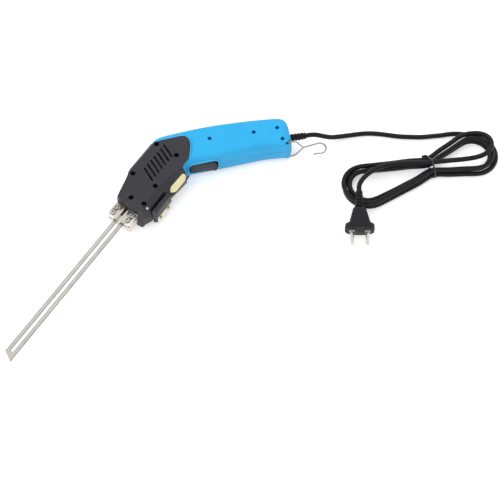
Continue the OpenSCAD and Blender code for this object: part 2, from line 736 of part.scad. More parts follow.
module handle_shell_left() {
    color([0.1, 0.6, 0.9]) difference() {
        union() {
            translate([0, 0, mid_z]) handle_blank();
            in_handle() shell_posts();
            translate([0, 0, mid_z]) intersection() {
                behind_joint(shell_wall / 2);
                for (p = tongue_screws()) translate(p) {
                    cylinder(d = post_d, h = seat_z - well_floor - clear);
                    translate([0, 0, seat_z - well_floor - 2 * well_wall])
                        cylinder(d = head_well_d + 5 * well_wall,
                            h = handle_half - shell_wall / 2 - seat_z + well_floor + 2 * well_wall);
                }
            }
        }
        in_handle() {
            shell_cuts();
            for (p = handle_screw_places()) translate(p) {
                translate([0, 0, -overrun]) cylinder(d = screw_d + 2 * running, h = head_thk);
                translate([0, 0, handle_seat_z]) cylinder(d = handle_well_d, h = head_thk);
            }
        }
        for (p = tongue_screws()) translate([p.x, p.y, mid_z]) {
            translate([0, 0, -overrun]) cylinder(d = screw_d + 2 * running, h = head_thk);
            translate([0, 0, seat_z - well_floor - clear])
                cylinder(d = head_well_d + 2 * well_wall + 2 * clear, h = head_thk);
        }
    }
}

module handle_shell_right() {
    color([0.1, 0.6, 0.9]) difference() {
        union() {
            translate([0, 0, mid_z]) mirror([0, 0, 1]) handle_blank();
            in_handle() mirror([0, 0, 1]) shell_posts();
            translate([0, 0, mid_z]) mirror([0, 0, 1]) intersection() {
                behind_joint(shell_wall / 2);
                for (p = tongue_screws()) translate(p) cylinder(d = post_d,
                    h = handle_half - shell_wall / 2);
            }
            in_handle() for (s = [-1, 1]) translate([clamp_at, cord_y + s * clamp_pitch / 2,
                shell_wall / 2 - handle_half])
                cylinder(d = clamp_post_d, h = handle_half - shell_wall / 2 + clamp_z);
        }
        in_handle() {
            mirror([0, 0, 1]) shell_cuts();
            for (p = handle_screw_places()) translate([p.x, p.y, -handle_bite - overrun])
                cylinder(d = screw_d + 2 * running, h = handle_bite + 2 * overrun);
            for (s = [-1, 1]) translate([clamp_at, cord_y + s * clamp_pitch / 2, -handle_bite - overrun])
                cylinder(d = clamp_screw_small_d + 2 * running, h = head_thk);
        }
        for (p = tongue_screws()) translate([p.x, p.y, mid_z - screw_bite - overrun])
            cylinder(d = screw_d + 2 * running, h = screw_bite + 2 * overrun);
    }
}

module handle_screws() {
    color("midnightblue") in_handle() for (p = handle_screw_places()) translate([p.x, p.y, handle_seat_z])
        screw(screw_d, screw_head_d, screw_head_h, handle_seat_z + handle_bite);
}

module trigger_slice() {
    translate([0, 0, -trigger_w / 2]) linear_extrude(trigger_w) children();
}

module trigger() {
    color([0.22, 0.22, 0.23]) in_handle() difference() {
        union() {
            intersection() {
                trigger_slice() {
                    polygon([[trigger_front, trigger_inner], [trigger_front, trigger_face + trigger_gap],
                        [trigger_front + trigger_gap, trigger_face],
                        [trigger_back - 2 * lip_out, trigger_face - trigger_gap],
                        [trigger_back - lip_out / 2, trigger_face - lip_out],
                        [trigger_back - trigger_gap, trigger_face - lip_out + trigger_gap],
                        [trigger_back - trigger_gap, trigger_inner]]);
                    translate([tab_x, trigger_inner - tab_thk])
                        square([tab_len + tab_in, tab_y - trigger_inner + 2 * tab_thk]);
                }
                rotate([90, 0, 0]) linear_extrude(2 * grip_near)
                    side_window(trigger_front, trigger_back - trigger_gap, -trigger_w / 2, trigger_w / 2,
                        [1, 1]);
            }
            trigger_slice() {
                translate(pivot_at) circle(d = pin_boss_d);
                translate([tab_x, tab_y]) square([2 * tab_len + tab_in, tab_thk]);
            }
        }
        trigger_slice() translate(pivot_at) circle(d = trigger_pin_d + 2 * running);
    }
}

module trigger_pin() {
    color("silver") in_handle() translate([pivot_at.x, pivot_at.y, shell_wall + clear - handle_half])
        cylinder(d = trigger_pin_d, h = handle_thk - 2 * shell_wall - 2 * clear);
}

module switch_body() {
    color([0.12, 0.12, 0.13]) in_handle() difference() {
        translate([switch_front, switch_near, -switch_h / 2]) cube([switch_len, switch_d, switch_h]);
        translate([plunger_at, switch_near - overrun, 0]) rotate([-90, 0, 0])
            cylinder(d = plunger_d + 2 * running, h = overrun + 3 * plunger_travel);
    }
}

module switch_plunger() {
    color("white") in_handle() translate([plunger_at, trigger_inner + clear, 0]) rotate([-90, 0, 0])
        cylinder(d = plunger_d, h = switch_gap - clear + plunger_travel);
}

lead_d = 1.8;
lead_gap = 3;
module switch_leads() {
    start = [switch_front + switch_len, switch_near + switch_d / 2];
    finish = [cable_front, cord_y];
    run = finish - start;
    color("saddlebrown") in_handle() for (s = [-1, 1]) translate([start.x, start.y, s * lead_gap / 2])
        rotate([0, 0, atan2(run.y, run.x)]) translate([clear, 0, 0]) rotate([0, 90, 0])
            cylinder(d = lead_d, h = norm(run) - 2 * clear);
}

module cable_end() {
    color([0.1, 0.1, 0.1]) in_handle() translate([cable_front, cord_y, 0]) rotate([0, 90, 0])
        cylinder(d = cord_d, h = cable_back - cable_front);
}

module cable_clamp() {
    color("gray") in_handle() difference() {
        translate([clamp_at - clamp_len / 2, cord_y - clamp_w / 2, clamp_z]) cube([clamp_len, clamp_w,
            clamp_thk]);
        for (s = [-1, 1]) translate([clamp_at, cord_y + s * clamp_pitch / 2, 0])
            cylinder(d = clamp_screw_small_d + 2 * running, h = head_thk);
    }
}

module clamp_screws() {
    color("silver") in_handle() for (s = [-1, 1]) translate([clamp_at, cord_y + s * clamp_pitch / 2,
        clamp_z + clamp_thk])
        screw(clamp_screw_small_d, clamp_screw_small_d * 1.8, clamp_screw_small_d * 0.7,
            clamp_z + clamp_thk + handle_bite);
}

// Hanging hook: a wire bail whose two legs meet behind the heel and run on into an open hook
hook_neck_share = 0.42;
hook_loop_share = 0.16;
hook_lift_share = 0.06;
module hanging_hook() {
    neck = [hook_at.x + hook_neck_share * hook_reach, hook_at.y, 0];
    loop_r = hook_loop_share * hook_reach;
    loop_mid = [hook_at.x + hook_reach - loop_r, hook_at.y + hook_lift_share * hook_reach - loop_r, 0];
    hook_end = [for (a = [90:-18:-108]) loop_mid + loop_r * [cos(a), sin(a), 0]];
    color("silver") in_handle() {
        for (s = [-1, 1]) tube(concat(
            [[hook_at.x, hook_at.y, s * (hook_leg_z - hook_stub)], [hook_at.x, hook_at.y,
                s * (hook_leg_z - wire_d)],
                [hook_at.x + wire_d / 3, hook_at.y, s * (hook_leg_z - wire_d / 3)], [hook_at.x + wire_d,
                    hook_at.y, s * hook_leg_z],
                [handle_len + wire_d, hook_at.y, s * hook_leg_z],
                [handle_len + 3 * wire_d, hook_at.y, s * hook_leg_z * 0.8]],
            s > 0 ? concat([neck], hook_end) : [neck + [wire_d / 2, 0, 0]]), wire_d, 8, [0, 1, 0]);
    }
}

// Strain relief: a flange inside the heel, and a tapering ribbed sleeve outside
relief_skin = 1.5;
relief_tip_d = cord_d + 2 * relief_skin;
rib_w = relief_len / relief_ribs / 2;
rib_cut = 0.8;
relief_root = 0.25;
module strain_relief() {
    body = [[0, 0], [relief_flange_d / 2, 0], [relief_flange_d / 2, relief_flange_thk], [relief_d / 2,
        relief_flange_thk]];
    out = relief_flange_thk + clear + shell_wall;
    ribs = [for (i = [0:relief_ribs - 1]) let (z = out + (i + relief_root) * relief_len / relief_ribs,
        r = relief_d / 2 + (relief_tip_d - relief_d) / 2 * (i + 1) / relief_ribs)
        each [[r, z], [r - rib_cut, z], [r - rib_cut, z + rib_w], [r, z + rib_w]]];
    color([0.1, 0.1, 0.1]) in_handle() translate([cable_back, cord_y, 0]) rotate([0, 90, 0])
        rotate_extrude() polygon(concat(body, ribs, [[relief_tip_d / 2, out + relief_len], [0,
            out + relief_len]]));
}

// Mains lead: its free run to the tied hank, in hand-chosen points on the table
lead_z = cord_d / 2;
lead_points = [[205, -139, 16], [213, -147, 10], [222, -154, 6], [231, -162, 4], [240, -171, lead_z], [248,
    -181, lead_z],
    [255, -193, lead_z], [261, -206, lead_z], [267, -219, lead_z], [274, -231, lead_z], [281, -242, lead_z],
    [290, -253, lead_z], [297.5, -262, lead_z], [304.5, -269.5, lead_z], [311, -278.5, lead_z]];
relief_end = at_handle(handle_len + relief_len, cord_y);
relief_out = at_handle(handle_len + relief_len + 1.5 * cord_d, cord_y);

// Hank: drop-shaped loops drawn in at the tie, spiralling in on the table and out again on top
hank_at = [244, -276];
hank_turn = -36.3;
hank_right = 89;
hank_left = 118;
waist = 12.4;
fold_right = 29.5;
fold_left = 31;
left_drift = 4;
loop_step = 7.4;
fold_step = 7.6;
reach_step = 7.4;
hank_play = 0.8;
layer_step = cord_d + hank_play;
tie_lift = 1.2;
hank_from = 30;
hank_to = -1040;
loop_rings = 36;
climb_from = -470;
climb_span = 120;

function smooth(t) = let (u = min(1, max(0, t))) u * u * (3 - 2 * u);
function depth_at(a) = min(hank_from - a, a - hank_to) / 360;
// Half a loop's width: straight from the waist until it meets the fold's circle, and then round that
function drop_width(x, reach, r, w) = let (mid = reach - r,
    flare = asin(r / norm([mid, w])) - atan2(w, mid))
    x < mid - r * sin(flare) ? w + x * tan(flare) : sqrt(max(0, r * r - (x - mid) * (x - mid)));
function hank_point(a) = let (d = depth_at(a), c = cos(a), s = sin(a),
    reach = (c > 0 ? hank_right : hank_left) - reach_step * d,
    fold = (c > 0 ? fold_right : fold_left) - fold_step * d)
    [reach * c,
     sign(s) * drop_width(reach * abs(c), reach, fold, waist - loop_step * d)
         + (c < 0 ? left_drift * c * c : 0),
     lead_z + layer_step * smooth((climb_from - a) / climb_span) + tie_lift * pow(s, 8)];
function place_hank(p) = concat(hank_at + turn([p.x, p.y], hank_turn), [p.z]);
hank_count = round((hank_from - hank_to) / 360 * loop_rings);
hank_core = [for (i = [0:hank_count])
    place_hank(hank_point(hank_from + (hank_to - hank_from)
    * i / hank_count))];
heading_step = 0.5;
function hank_heading(a) = unit(place_hank(hank_point(a - heading_step))
    - place_hank(hank_point(a + heading_step)));
hank_in = hank_heading(hank_from);
hank_out = hank_heading(hank_to);
hank_start = hank_core[0] - cord_d * hank_in;
hank_end = hank_core[hank_count] + cord_d / 2 * hank_out;
hank_path = concat([hank_start], hank_core, [hank_end]);

// Least gap between points of the hank that are more than a fold apart along it
fine = [for (i = [0:2 * hank_count]) place_hank(hank_point(hank_from + (hank_to - hank_from)
    * i / 2 / hank_count))];
apart = loop_rings / 2;
hank_gap = min([for (i = [0:len(fine) - 1], j = [i + apart:1:len(fine) - 1]) norm(fine[i] - fine[j])])
    - cord_d;
echo(hank_gap = hank_gap);
function path_len(p) = sum([for (i = [1:len(p) - 1]) norm(p[i] - p[i - 1])]);

lead_path = concat([concat(relief_end, [mid_z]), concat(relief_out, [mid_z])], lead_points,
    [hank_start - cord_d * hank_in, hank_start]);

// Tail: off the last right loop, back over the waist on top, and over the left loops to the plug
tail_z = lead_z + 2 * layer_step;
plug_yaw = -148;
plug_tilt = 6.5;
plug_at = [156.5, -221.5];
plug_lift = 2.2;
plug_z = tail_z + plug_lift;
plug_axis = [cos(plug_yaw) * cos(plug_tilt), sin(plug_yaw) * cos(plug_tilt), -sin(plug_tilt)];
plug_entry = concat(plug_at, [plug_z]);
tie_point = [244.5, -275, 18];
tail_points = [[319.8, -300, 10.8], [321.4, -309.7, 13.2], [317.6, -319.4, 16], [309.6, -325.7, 17.2],
    [299.6, -327.2, 17.5], [290, -323.7, 17], [280, -315, 15.8], [271, -305, 15.6], [258, -290.5, 17],
    tie_point, [233.5, -260, 18], [222.5, -244.5, 17.8], [213, -233.5, 17.8], [203, -225, 18],
    [191.5, -219.5, 18.8], [180, -216.8, 19.8], [170, -216.3, 20.2]];
tail_path = concat([hank_end, hank_end + cord_d / 4 * hank_out], tail_points,
    [plug_entry - cord_d * plug_axis, plug_entry]);
echo(cord_length = path_len(lead_path) + path_len(hank_path) + path_len(tail_path));

module cord_lead() {
    color([0.1, 0.1, 0.1]) tube(lead_path, cord_d, 8);
}

module cord_hank() {
    color([0.1, 0.1, 0.1]) tube(hank_path, cord_d, 6);
}

module cord_tail() {
    color([0.1, 0.1, 0.1]) tube(tail_path, cord_d, 8);
}

// Tie: a thin band round all the runs at the hank's waist
tie_w = 3;
tie_thk = 0.7;
tie_half = waist + cord_d / 2 + clear;
tie_side = cord_d + layer_step + tie_lift + clear;
tie_top = tie_point.z + cord_d / 2 + clear;
tie_bottom = tie_lift - clear;
tie_crest = 3 * cord_d / 4;
module tie_outline(grow) {
    polygon([[-tie_half - grow, tie_bottom - grow], [tie_half + grow, tie_bottom - grow],
        [tie_half + grow, tie_side + grow], [tie_crest + grow, tie_top + grow],
        [-tie_crest - grow, tie_top + grow], [-tie_half - grow, tie_side + grow]]);
}
module cord_tie() {
    color("black") translate([hank_at.x, hank_at.y, 0]) rotate([90, 0, hank_turn + 90])
        translate([0, 0, -tie_w / 2]) linear_extrude(tie_w) difference() {
            tie_outline(tie_thk);
            tie_outline(0);
        }
}

// Plug: bend sleeve, tapering grip and a round flange with two flats, and two pins
sleeve_len = 23;
grip_len = 23;
flange_thk = 8;
sleeve_skin = 1;
sleeve_flare = 1.5;
sleeve_d = cord_d + 2 * sleeve_skin;
sleeve_end_d = sleeve_d + 2 * sleeve_flare;
grip_back_w = 17;
grip_back_h = sleeve_end_d + 2 * sleeve_skin;
grip_front_share = 0.75;
module in_plug() {
    translate(plug_entry) rotate([0, 0, plug_yaw]) rotate([0, 90 + plug_tilt, 0]) rotate([0, 0, 90])
        children();
}

module plug_body() {
    front = sleeve_len + grip_len;
    grip_front_w = plug_d * grip_front_share;
    grip_front_h = plug_h * grip_front_share;
    color([0.12, 0.12, 0.12]) in_plug() {
        cylinder(d1 = sleeve_d, d2 = sleeve_end_d, h = sleeve_len + overrun);
        intersection() {
            translate([0, plug_h, sleeve_len]) rotate([90, 0, 0]) linear_extrude(2 * plug_h)
                polygon([[-grip_back_w / 2, 0],
                [grip_back_w / 2, 0], [grip_front_w / 2, grip_len], [-grip_front_w / 2, grip_len]]);
            translate([-plug_d, 0, sleeve_len]) rotate([90, 0, 90]) linear_extrude(2 * plug_d)
                polygon([[-grip_back_h / 2, 0],
                [grip_back_h / 2, 0], [grip_front_h / 2, grip_len], [-grip_front_h / 2, grip_len]]);
        }
        translate([0, 0, front]) intersection() {
            cylinder(d = plug_d, h = flange_thk);
            translate([-plug_d, -plug_h / 2, 0]) cube([2 * plug_d, plug_h, flange_thk]);
        }
    }
}

module plug_pins() {
    color("silver") in_plug() for (s = [-1, 1]) translate([s * pin_pitch / 2, 0,
        sleeve_len + grip_len + flange_thk])
        rotate_extrude() polygon([[0, 0], [pin_d / 2, 0], [pin_d / 2, pin_len - pin_d / 4], [pin_d / 4,
            pin_len], [0, pin_len]]);
}

blade();
terminal(1);  // terminal_far
terminal(-1);  // terminal_near
jaw(1);  // jaw_far
jaw(-1);  // jaw_near
jaw_screws();
front_insulator();
secondary_bar();
transformer_core();
bobbin();
primary_winding();
thermal_fuse();
head_cover_left();
head_cover_right();
head_screws();
guide_block();
guide_plate();
guide_inserts();
handle_shell_left();
handle_shell_right();
handle_screws();
trigger();
trigger_pin();
switch_body();
switch_plunger();
switch_leads();
cable_end();
cable_clamp();
clamp_screws();
hanging_hook();
strain_relief();
cord_lead();
cord_hank();
cord_tail();
cord_tie();
plug_body();
plug_pins();
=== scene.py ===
"""Looks of the electric hot knife: materials, camera, mains lead and small fittings on the solids."""

import json
import math

import bmesh
import bpy
import numpy as np
from mathutils import Matrix, Vector
from mathutils.bvhtree import BVHTree
from mathutils.geometry import convex_hull_2d


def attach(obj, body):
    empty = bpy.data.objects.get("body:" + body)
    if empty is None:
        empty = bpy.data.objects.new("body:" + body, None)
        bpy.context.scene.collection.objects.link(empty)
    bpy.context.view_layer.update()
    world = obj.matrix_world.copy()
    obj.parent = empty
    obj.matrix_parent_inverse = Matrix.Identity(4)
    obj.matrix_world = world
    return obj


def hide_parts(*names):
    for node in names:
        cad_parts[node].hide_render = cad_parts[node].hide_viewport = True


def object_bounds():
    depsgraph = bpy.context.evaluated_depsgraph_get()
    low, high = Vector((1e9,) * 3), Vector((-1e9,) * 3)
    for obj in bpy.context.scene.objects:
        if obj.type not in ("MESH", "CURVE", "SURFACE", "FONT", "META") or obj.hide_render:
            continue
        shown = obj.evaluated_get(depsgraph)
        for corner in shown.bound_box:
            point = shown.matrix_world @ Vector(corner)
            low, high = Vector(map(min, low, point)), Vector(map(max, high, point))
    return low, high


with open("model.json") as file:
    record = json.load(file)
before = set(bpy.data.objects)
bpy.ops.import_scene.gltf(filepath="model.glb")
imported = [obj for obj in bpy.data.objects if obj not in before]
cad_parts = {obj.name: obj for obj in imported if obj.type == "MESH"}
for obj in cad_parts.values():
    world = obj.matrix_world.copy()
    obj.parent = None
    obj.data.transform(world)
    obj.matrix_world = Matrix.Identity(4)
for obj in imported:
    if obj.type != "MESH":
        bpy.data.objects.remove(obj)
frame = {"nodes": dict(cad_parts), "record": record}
cad_low, cad_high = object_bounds()
nodes = frame["nodes"]
scene = bpy.context.scene
MM = 0.001


def add_object(name, data):
    obj = bpy.data.objects.new(name, data)
    scene.collection.objects.link(obj)
    return obj


# Camera, at the photograph's viewing angle
CAMERA_AT = Vector((-0.6058, -0.5586, 1.2990))
CAMERA_TO = Vector((0.0220, -0.14835, 0.0))
LENS_MM = 88.56
SENSOR_MM = 36.0

cam_data = bpy.data.cameras.new("camera")
cam_data.lens = LENS_MM
cam_data.sensor_width = SENSOR_MM
camera = add_object("camera", cam_data)
camera.location = CAMERA_AT
camera.rotation_euler = (CAMERA_TO - CAMERA_AT).to_track_quat("-Z", "Y").to_euler()
scene.camera = camera
scene.view_settings.view_transform = "Standard"

# Materials: scales of their noise in cells per metre, and lengths in metres
MOTTLE, SMUDGES, MARKS = 38.0, 120.0, 260.0
METAL_MOTTLE, SHEET_SMUDGES = 90.0, 300.0
NOISE_LOW, NOISE_HIGH = 0.3, 0.7
METAL_LOW, METAL_HIGH, METAL_DRIFT = 0.25, 0.75, 0.1
MARK_DEPTH = 0.8
# Painted shade in crevices and hollows, where ambient occlusion darkens the colour: how deep, how far it
# reaches, and over which occlusion
HOLLOW_REACH, HOLLOW_LOW, HOLLOW_HIGH = 0.03, 0.03, 0.3
METAL_SHADE, METAL_REACH, METAL_SHADE_LOW, METAL_SHADE_HIGH = 0.94, 0.004, 0.2, 0.85
SHEET_SHADE, SHEET_REACH, SHEET_RELIEF = 0.95, 0.03, 0.00015
SEAM_Z, SEAM_WIDTH, SEAM_CORE, SEAM_SHADE = 0.021, 0.0003, 0.4, 0.6


def linear(r, g, b):
    """Linear colour of an sRGB one, each from 0 to 255."""
    out = []
    for c in (r, g, b):
        c = c / 255.0
        out.append(c / 12.92 if c <= 0.04045 else ((c + 0.055) / 1.055) ** 2.4)
    return (*out, 1.0)


def shade_of(rgb, gain):
    return (*[min(1.0, c * gain) for c in rgb[:3]], 1.0)


class Shader:
    """A principled material with object coordinates and a few helpers for its nodes."""

    def __init__(self, name, **values):
        self.mat = bpy.data.materials.new(name)
        self.mat.use_nodes = True
        self.tree = self.mat.node_tree
        self.bsdf = self.tree.nodes["Principled BSDF"]
        self.coords = self.tree.nodes.new("ShaderNodeTexCoord").outputs["Object"]
        self.normal = None
        for key, value in values.items():
            self.bsdf.inputs[key.replace("_", " ")].default_value = value

    def link(self, out, socket):
        self.tree.links.new(out, socket)

    def noise(self, scale, detail=3.0, rough=0.5, stretch=None):
        node = self.tree.nodes.new("ShaderNodeTexNoise")
        node.inputs["Scale"].default_value = scale
        node.inputs["Detail"].default_value = detail
        node.inputs["Roughness"].default_value = rough
        self.link(self.mapped(stretch), node.inputs["Vector"])
        return node.outputs["Fac"]

    def mapped(self, stretch):
        if stretch is None:
            return self.coords
        node = self.tree.nodes.new("ShaderNodeMapping")
        node.inputs["Scale"].default_value = stretch
        self.link(self.coords, node.inputs["Vector"])
        return node.outputs["Vector"]

    def waves(self, scale, axis):
        node = self.tree.nodes.new("ShaderNodeTexWave")
        node.bands_direction = axis
        node.inputs["Scale"].default_value = scale
        self.link(self.coords, node.inputs["Vector"])
        return node.outputs["Fac"]

    def spread(self, fac, low, high, out_low, out_high):
        """A value from low to high, spread from out_low to out_high."""
        node = self.tree.nodes.new("ShaderNodeMapRange")
        node.inputs["From Min"].default_value = low
        node.inputs["From Max"].default_value = high
        node.inputs["To Min"].default_value = out_low
        node.inputs["To Max"].default_value = out_high
        self.link(fac, node.inputs["Value"])
        return node.outputs["Result"]

    def colour(self, fac, low, high):
        """Base colour between two stops, each a place on the ramp and a colour."""
        node = self.tree.nodes.new("ShaderNodeValToRGB")
        for element, (place, shade) in zip(node.color_ramp.elements, (low, high)):
            element.position = place
            element.color = shade
        self.link(fac, node.inputs["Fac"])
        self.shade = node.outputs["Color"]
        self.link(self.shade, self.bsdf.inputs["Base Color"])

    def dim(self, factor):
        """Multiply the colour by a value."""
        node = self.tree.nodes.new("ShaderNodeVectorMath")
        node.operation = "SCALE"
        self.link(self.shade, node.inputs[0])
        self.link(factor, node.inputs["Scale"])
        self.shade = node.outputs["Vector"]
        self.link(self.shade, self.bsdf.inputs["Base Color"])

    def paint_crevice_shade(self, depth, distance, low=0.25, high=0.95):
        """Painted shade: darken the colour where other surfaces stand close."""
        node = self.tree.nodes.new("ShaderNodeAmbientOcclusion")
        node.inputs["Distance"].default_value = distance
        self.dim(self.spread(node.outputs["AO"], low, high, 1 - depth, 1.0))

    def parting(self, height):
        """A thin dark line round the piece at one height."""
        split = self.tree.nodes.new("ShaderNodeSeparateXYZ")
        self.link(self.coords, split.inputs["Vector"])
        off = self.tree.nodes.new("ShaderNodeMath")
        off.operation = "SUBTRACT"
        off.inputs[1].default_value = height
        self.link(split.outputs["Z"], off.inputs[0])
        away = self.tree.nodes.new("ShaderNodeMath")
        away.operation = "ABSOLUTE"
        self.link(off.outputs[0], away.inputs[0])
        self.dim(self.spread(away.outputs[0], SEAM_WIDTH * SEAM_CORE, SEAM_WIDTH, 1 - SEAM_SHADE, 1.0))

    def rough(self, fac, low, high):
        self.link(self.spread(fac, NOISE_LOW, NOISE_HIGH, low, high), self.bsdf.inputs["Roughness"])

    def bump(self, fac, depth):
        """Relief of a depth in metres, on top of any relief so far."""
        node = self.tree.nodes.new("ShaderNodeBump")
        node.inputs["Distance"].default_value = depth
        node.inputs["Strength"].default_value = 1.0
        self.link(fac, node.inputs["Height"])
        if self.normal is not None:
            self.link(self.normal, node.inputs["Normal"])
        self.normal = node.outputs["Normal"]
        self.link(self.normal, self.bsdf.inputs["Normal"])


def moulded(name, rgb, rough, grain, depth, spec=0.5, drift=0.08, seam=None, crevice_shade=0.45, near=0.006,
            hollow_shade=0.0):
    """Moulded plastic: a slow drift of its colour, painted shade in its crevices and hollows, a fine
    spark-eroded grain and faint handling marks.
    """
    s = Shader(name, Specular_IOR_Level=spec)
    base = linear(*rgb)
    s.colour(s.noise(MOTTLE, 4.0), (NOISE_LOW, shade_of(base, 1 - drift)),
             (NOISE_HIGH, shade_of(base, 1 + drift)))
    s.paint_crevice_shade(crevice_shade, near)
    if hollow_shade > 0:
        s.paint_crevice_shade(hollow_shade, HOLLOW_REACH, HOLLOW_LOW, HOLLOW_HIGH)
    if seam is not None:
        s.parting(seam)
    s.rough(s.noise(SMUDGES, 5.0, 0.6), rough - 0.06, rough + 0.07)
    s.bump(s.noise(grain, 2.0, 0.6), depth)
    s.bump(s.noise(MARKS), depth * MARK_DEPTH)
    return s.mat


def metal(name, rgb, rough, grain=900.0, depth=0.00004, stretch=None):
    """Plated or ground metal, with painted shade where other surfaces stand close, and fine lines where its
    grain is stretched along one way.
    """
    s = Shader(name, Metallic=1.0)
    base = linear(*rgb)
    s.colour(s.noise(METAL_MOTTLE, 4.0), (METAL_LOW, shade_of(base, 1 - METAL_DRIFT)),
             (METAL_HIGH, shade_of(base, 1 + METAL_DRIFT)))
    s.paint_crevice_shade(METAL_SHADE, METAL_REACH, METAL_SHADE_LOW, METAL_SHADE_HIGH)
    lines = s.noise(grain, 4.0, 0.6, stretch)
    s.rough(lines, rough - 0.08, rough + 0.12)
    s.bump(lines, depth)
    return s.mat


def striped(name, dark, light, scale, axis, metallic, rough):
    """Stacked sheets or wound wire, in fine even lines, with painted shade where other surfaces stand
    close.
    """
    s = Shader(name, Metallic=metallic)
    wave = s.waves(scale, axis)
    s.colour(wave, (0.1, linear(*dark)), (0.7, linear(*light)))
    s.paint_crevice_shade(SHEET_SHADE, SHEET_REACH)
    s.rough(s.noise(SHEET_SMUDGES), rough - 0.06, rough + 0.08)
    s.bump(wave, SHEET_RELIEF)
    return s.mat


BLUE = moulded("blue_housing", (50, 178, 236), rough=0.38, grain=2600.0, depth=0.00003, spec=0.27,
               drift=0.03, seam=SEAM_Z, crevice_shade=0.35, hollow_shade=0.55)
# Lighter blue of the raised rim and lip: painted highlight along them
BLUE_PAINTED_HIGHLIGHT = moulded("blue_painted_highlight", (66, 190, 244), rough=0.34, grain=2600.0, depth=0.00003, spec=0.3,
                    drift=0.02, crevice_shade=0.2)
BLACK = moulded("black_housing", (54, 54, 59), rough=0.44, grain=3000.0, depth=0.00006, spec=0.24,
                seam=SEAM_Z, crevice_shade=0.94, near=0.004, hollow_shade=0.97)
BLOCK = moulded("guide_black", (52, 52, 55), rough=0.42, grain=3000.0, depth=0.00006, spec=0.26)
TRIGGER = moulded("trigger_plastic", (48, 50, 54), rough=0.40, grain=2600.0, depth=0.00004, spec=0.26)
RUBBER = moulded("cord_skin", (23, 22, 25), rough=0.40, grain=1800.0, depth=0.00005, spec=0.2, crevice_shade=0.8)
PLUG = moulded("plug_plastic", (27, 27, 30), rough=0.42, grain=2400.0, depth=0.00006, spec=0.22,
               crevice_shade=0.85, near=0.004)
# Near-black for the vent slots' walls and floors: painted shade
VENT_PAINTED_SHADE = moulded("vent_shade", (13, 13, 14), rough=0.7, grain=2600.0, depth=0.00003, spec=0.08)
BOBBIN = moulded("bobbin_plastic", (228, 222, 205), rough=0.5, grain=1800.0, depth=0.00004, crevice_shade=0.95,
                 near=0.03)
INSULATOR = moulded("insulator", (150, 118, 82), rough=0.62, grain=900.0, depth=0.0001, spec=0.3,
                    drift=0.15, crevice_shade=0.9, near=0.02)
WIRE_SKIN = moulded("wire_skin", (118, 78, 46), rough=0.5, grain=1800.0, depth=0.00004)
PLATE = moulded("bare_plate", (255, 245, 186), rough=0.42, grain=2200.0, depth=0.00003, spec=0.4,
                drift=0.03)
LENS = moulded("lamp_lens", (226, 228, 234), rough=0.12, grain=2200.0, depth=0.00001, spec=0.8, drift=0.02)
NICKEL = metal("nickel", (226, 220, 211), rough=0.26, grain=700.0, depth=0.00006)
ALONG_BLADE = (1.0, 26.0, 26.0)
BLADE = metal("blade_steel", (208, 204, 200), rough=0.30, grain=60.0, depth=0.00003, stretch=ALONG_BLADE)
# Darker copy of the blade's steel for its bevels and cut sides: painted shade
BLADE_SIDE_SHADE = metal("blade_side_shade", (166, 162, 157), rough=0.34, grain=60.0, depth=0.00003, stretch=ALONG_BLADE)
SCREW = metal("screw_steel", (206, 201, 193), rough=0.28)
BLACK_STEEL = metal("black_steel", (40, 40, 43), rough=0.42)
# Handle screws in blue, not their own black steel: the blue of the wells round them, painted reflection
SCREW_BLUE_REFLECTION = moulded("screw_painted_blue_reflection", (6, 128, 204), rough=0.42, grain=1800.0, depth=0.00002, spec=0.2)
TIE_SKIN = moulded("tie_skin", (44, 43, 46), rough=0.36, grain=1800.0, depth=0.00002)
BRASS = metal("brass", (206, 164, 92), rough=0.28, grain=800.0)
WIRE = metal("wire_steel", (164, 161, 154), rough=0.24, depth=0.00002)
FUSE = metal("fuse_steel", (212, 212, 212), rough=0.35)
COPPER = striped("copper", (110, 58, 30), (206, 128, 78), scale=420.0, axis="Z", metallic=0.9, rough=0.35)
CORE = striped("core_steel", (40, 40, 42), (98, 98, 100), scale=320.0, axis="X", metallic=0.6, rough=0.5)

SLOT_LOOKS = {
    "blade_steel": BLADE, "nickel": NICKEL, "screw_steel": SCREW, "insulator": INSULATOR, "copper": COPPER,
    "core_steel": CORE, "bobbin_plastic": BOBBIN, "fuse_steel": FUSE, "black_housing": BLACK,
    "blue_housing": BLUE, "black_steel": BLACK_STEEL, "brass": BRASS, "trigger_plastic": TRIGGER,
    "wire_skin": WIRE_SKIN, "cord_skin": RUBBER, "wire_steel": WIRE, "plug_plastic": PLUG,
}
NODE_LOOKS = {"guide_block": BLOCK, "handle_screws": SCREW_BLUE_REFLECTION}

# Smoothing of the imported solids: vertices welded, then shaded smooth except over sharp edges
SMOOTH_ANGLE, BEVEL_ANGLE, BEVEL_SEGMENTS = math.radians(32), math.radians(40), 2
WELD = 2e-6


def smooth_group(angle):
    group = bpy.data.node_groups.new("smooth_by_angle", "GeometryNodeTree")
    group.interface.new_socket("Geometry", in_out="INPUT", socket_type="NodeSocketGeometry")
    group.interface.new_socket("Geometry", in_out="OUTPUT", socket_type="NodeSocketGeometry")
    add = group.nodes.new
    start = add("NodeGroupInput")
    end = add("NodeGroupOutput")
    faces = add("GeometryNodeSetShadeSmooth")
    faces.domain = "FACE"
    edges = add("GeometryNodeSetShadeSmooth")
    edges.domain = "EDGE"
    edges.inputs["Shade Smooth"].default_value = False
    fold = add("GeometryNodeInputMeshEdgeAngle")
    sharp = add("FunctionNodeCompare")
    sharp.data_type = "FLOAT"
    sharp.operation = "GREATER_THAN"
    sharp.inputs["B"].default_value = angle
    link = group.links.new
    link(start.outputs[0], faces.inputs["Geometry"])
    link(faces.outputs["Geometry"], edges.inputs["Geometry"])
    link(fold.outputs["Unsigned Angle"], sharp.inputs["A"])
    link(sharp.outputs["Result"], edges.inputs["Selection"])
    link(edges.outputs["Geometry"], end.inputs[0])
    return group


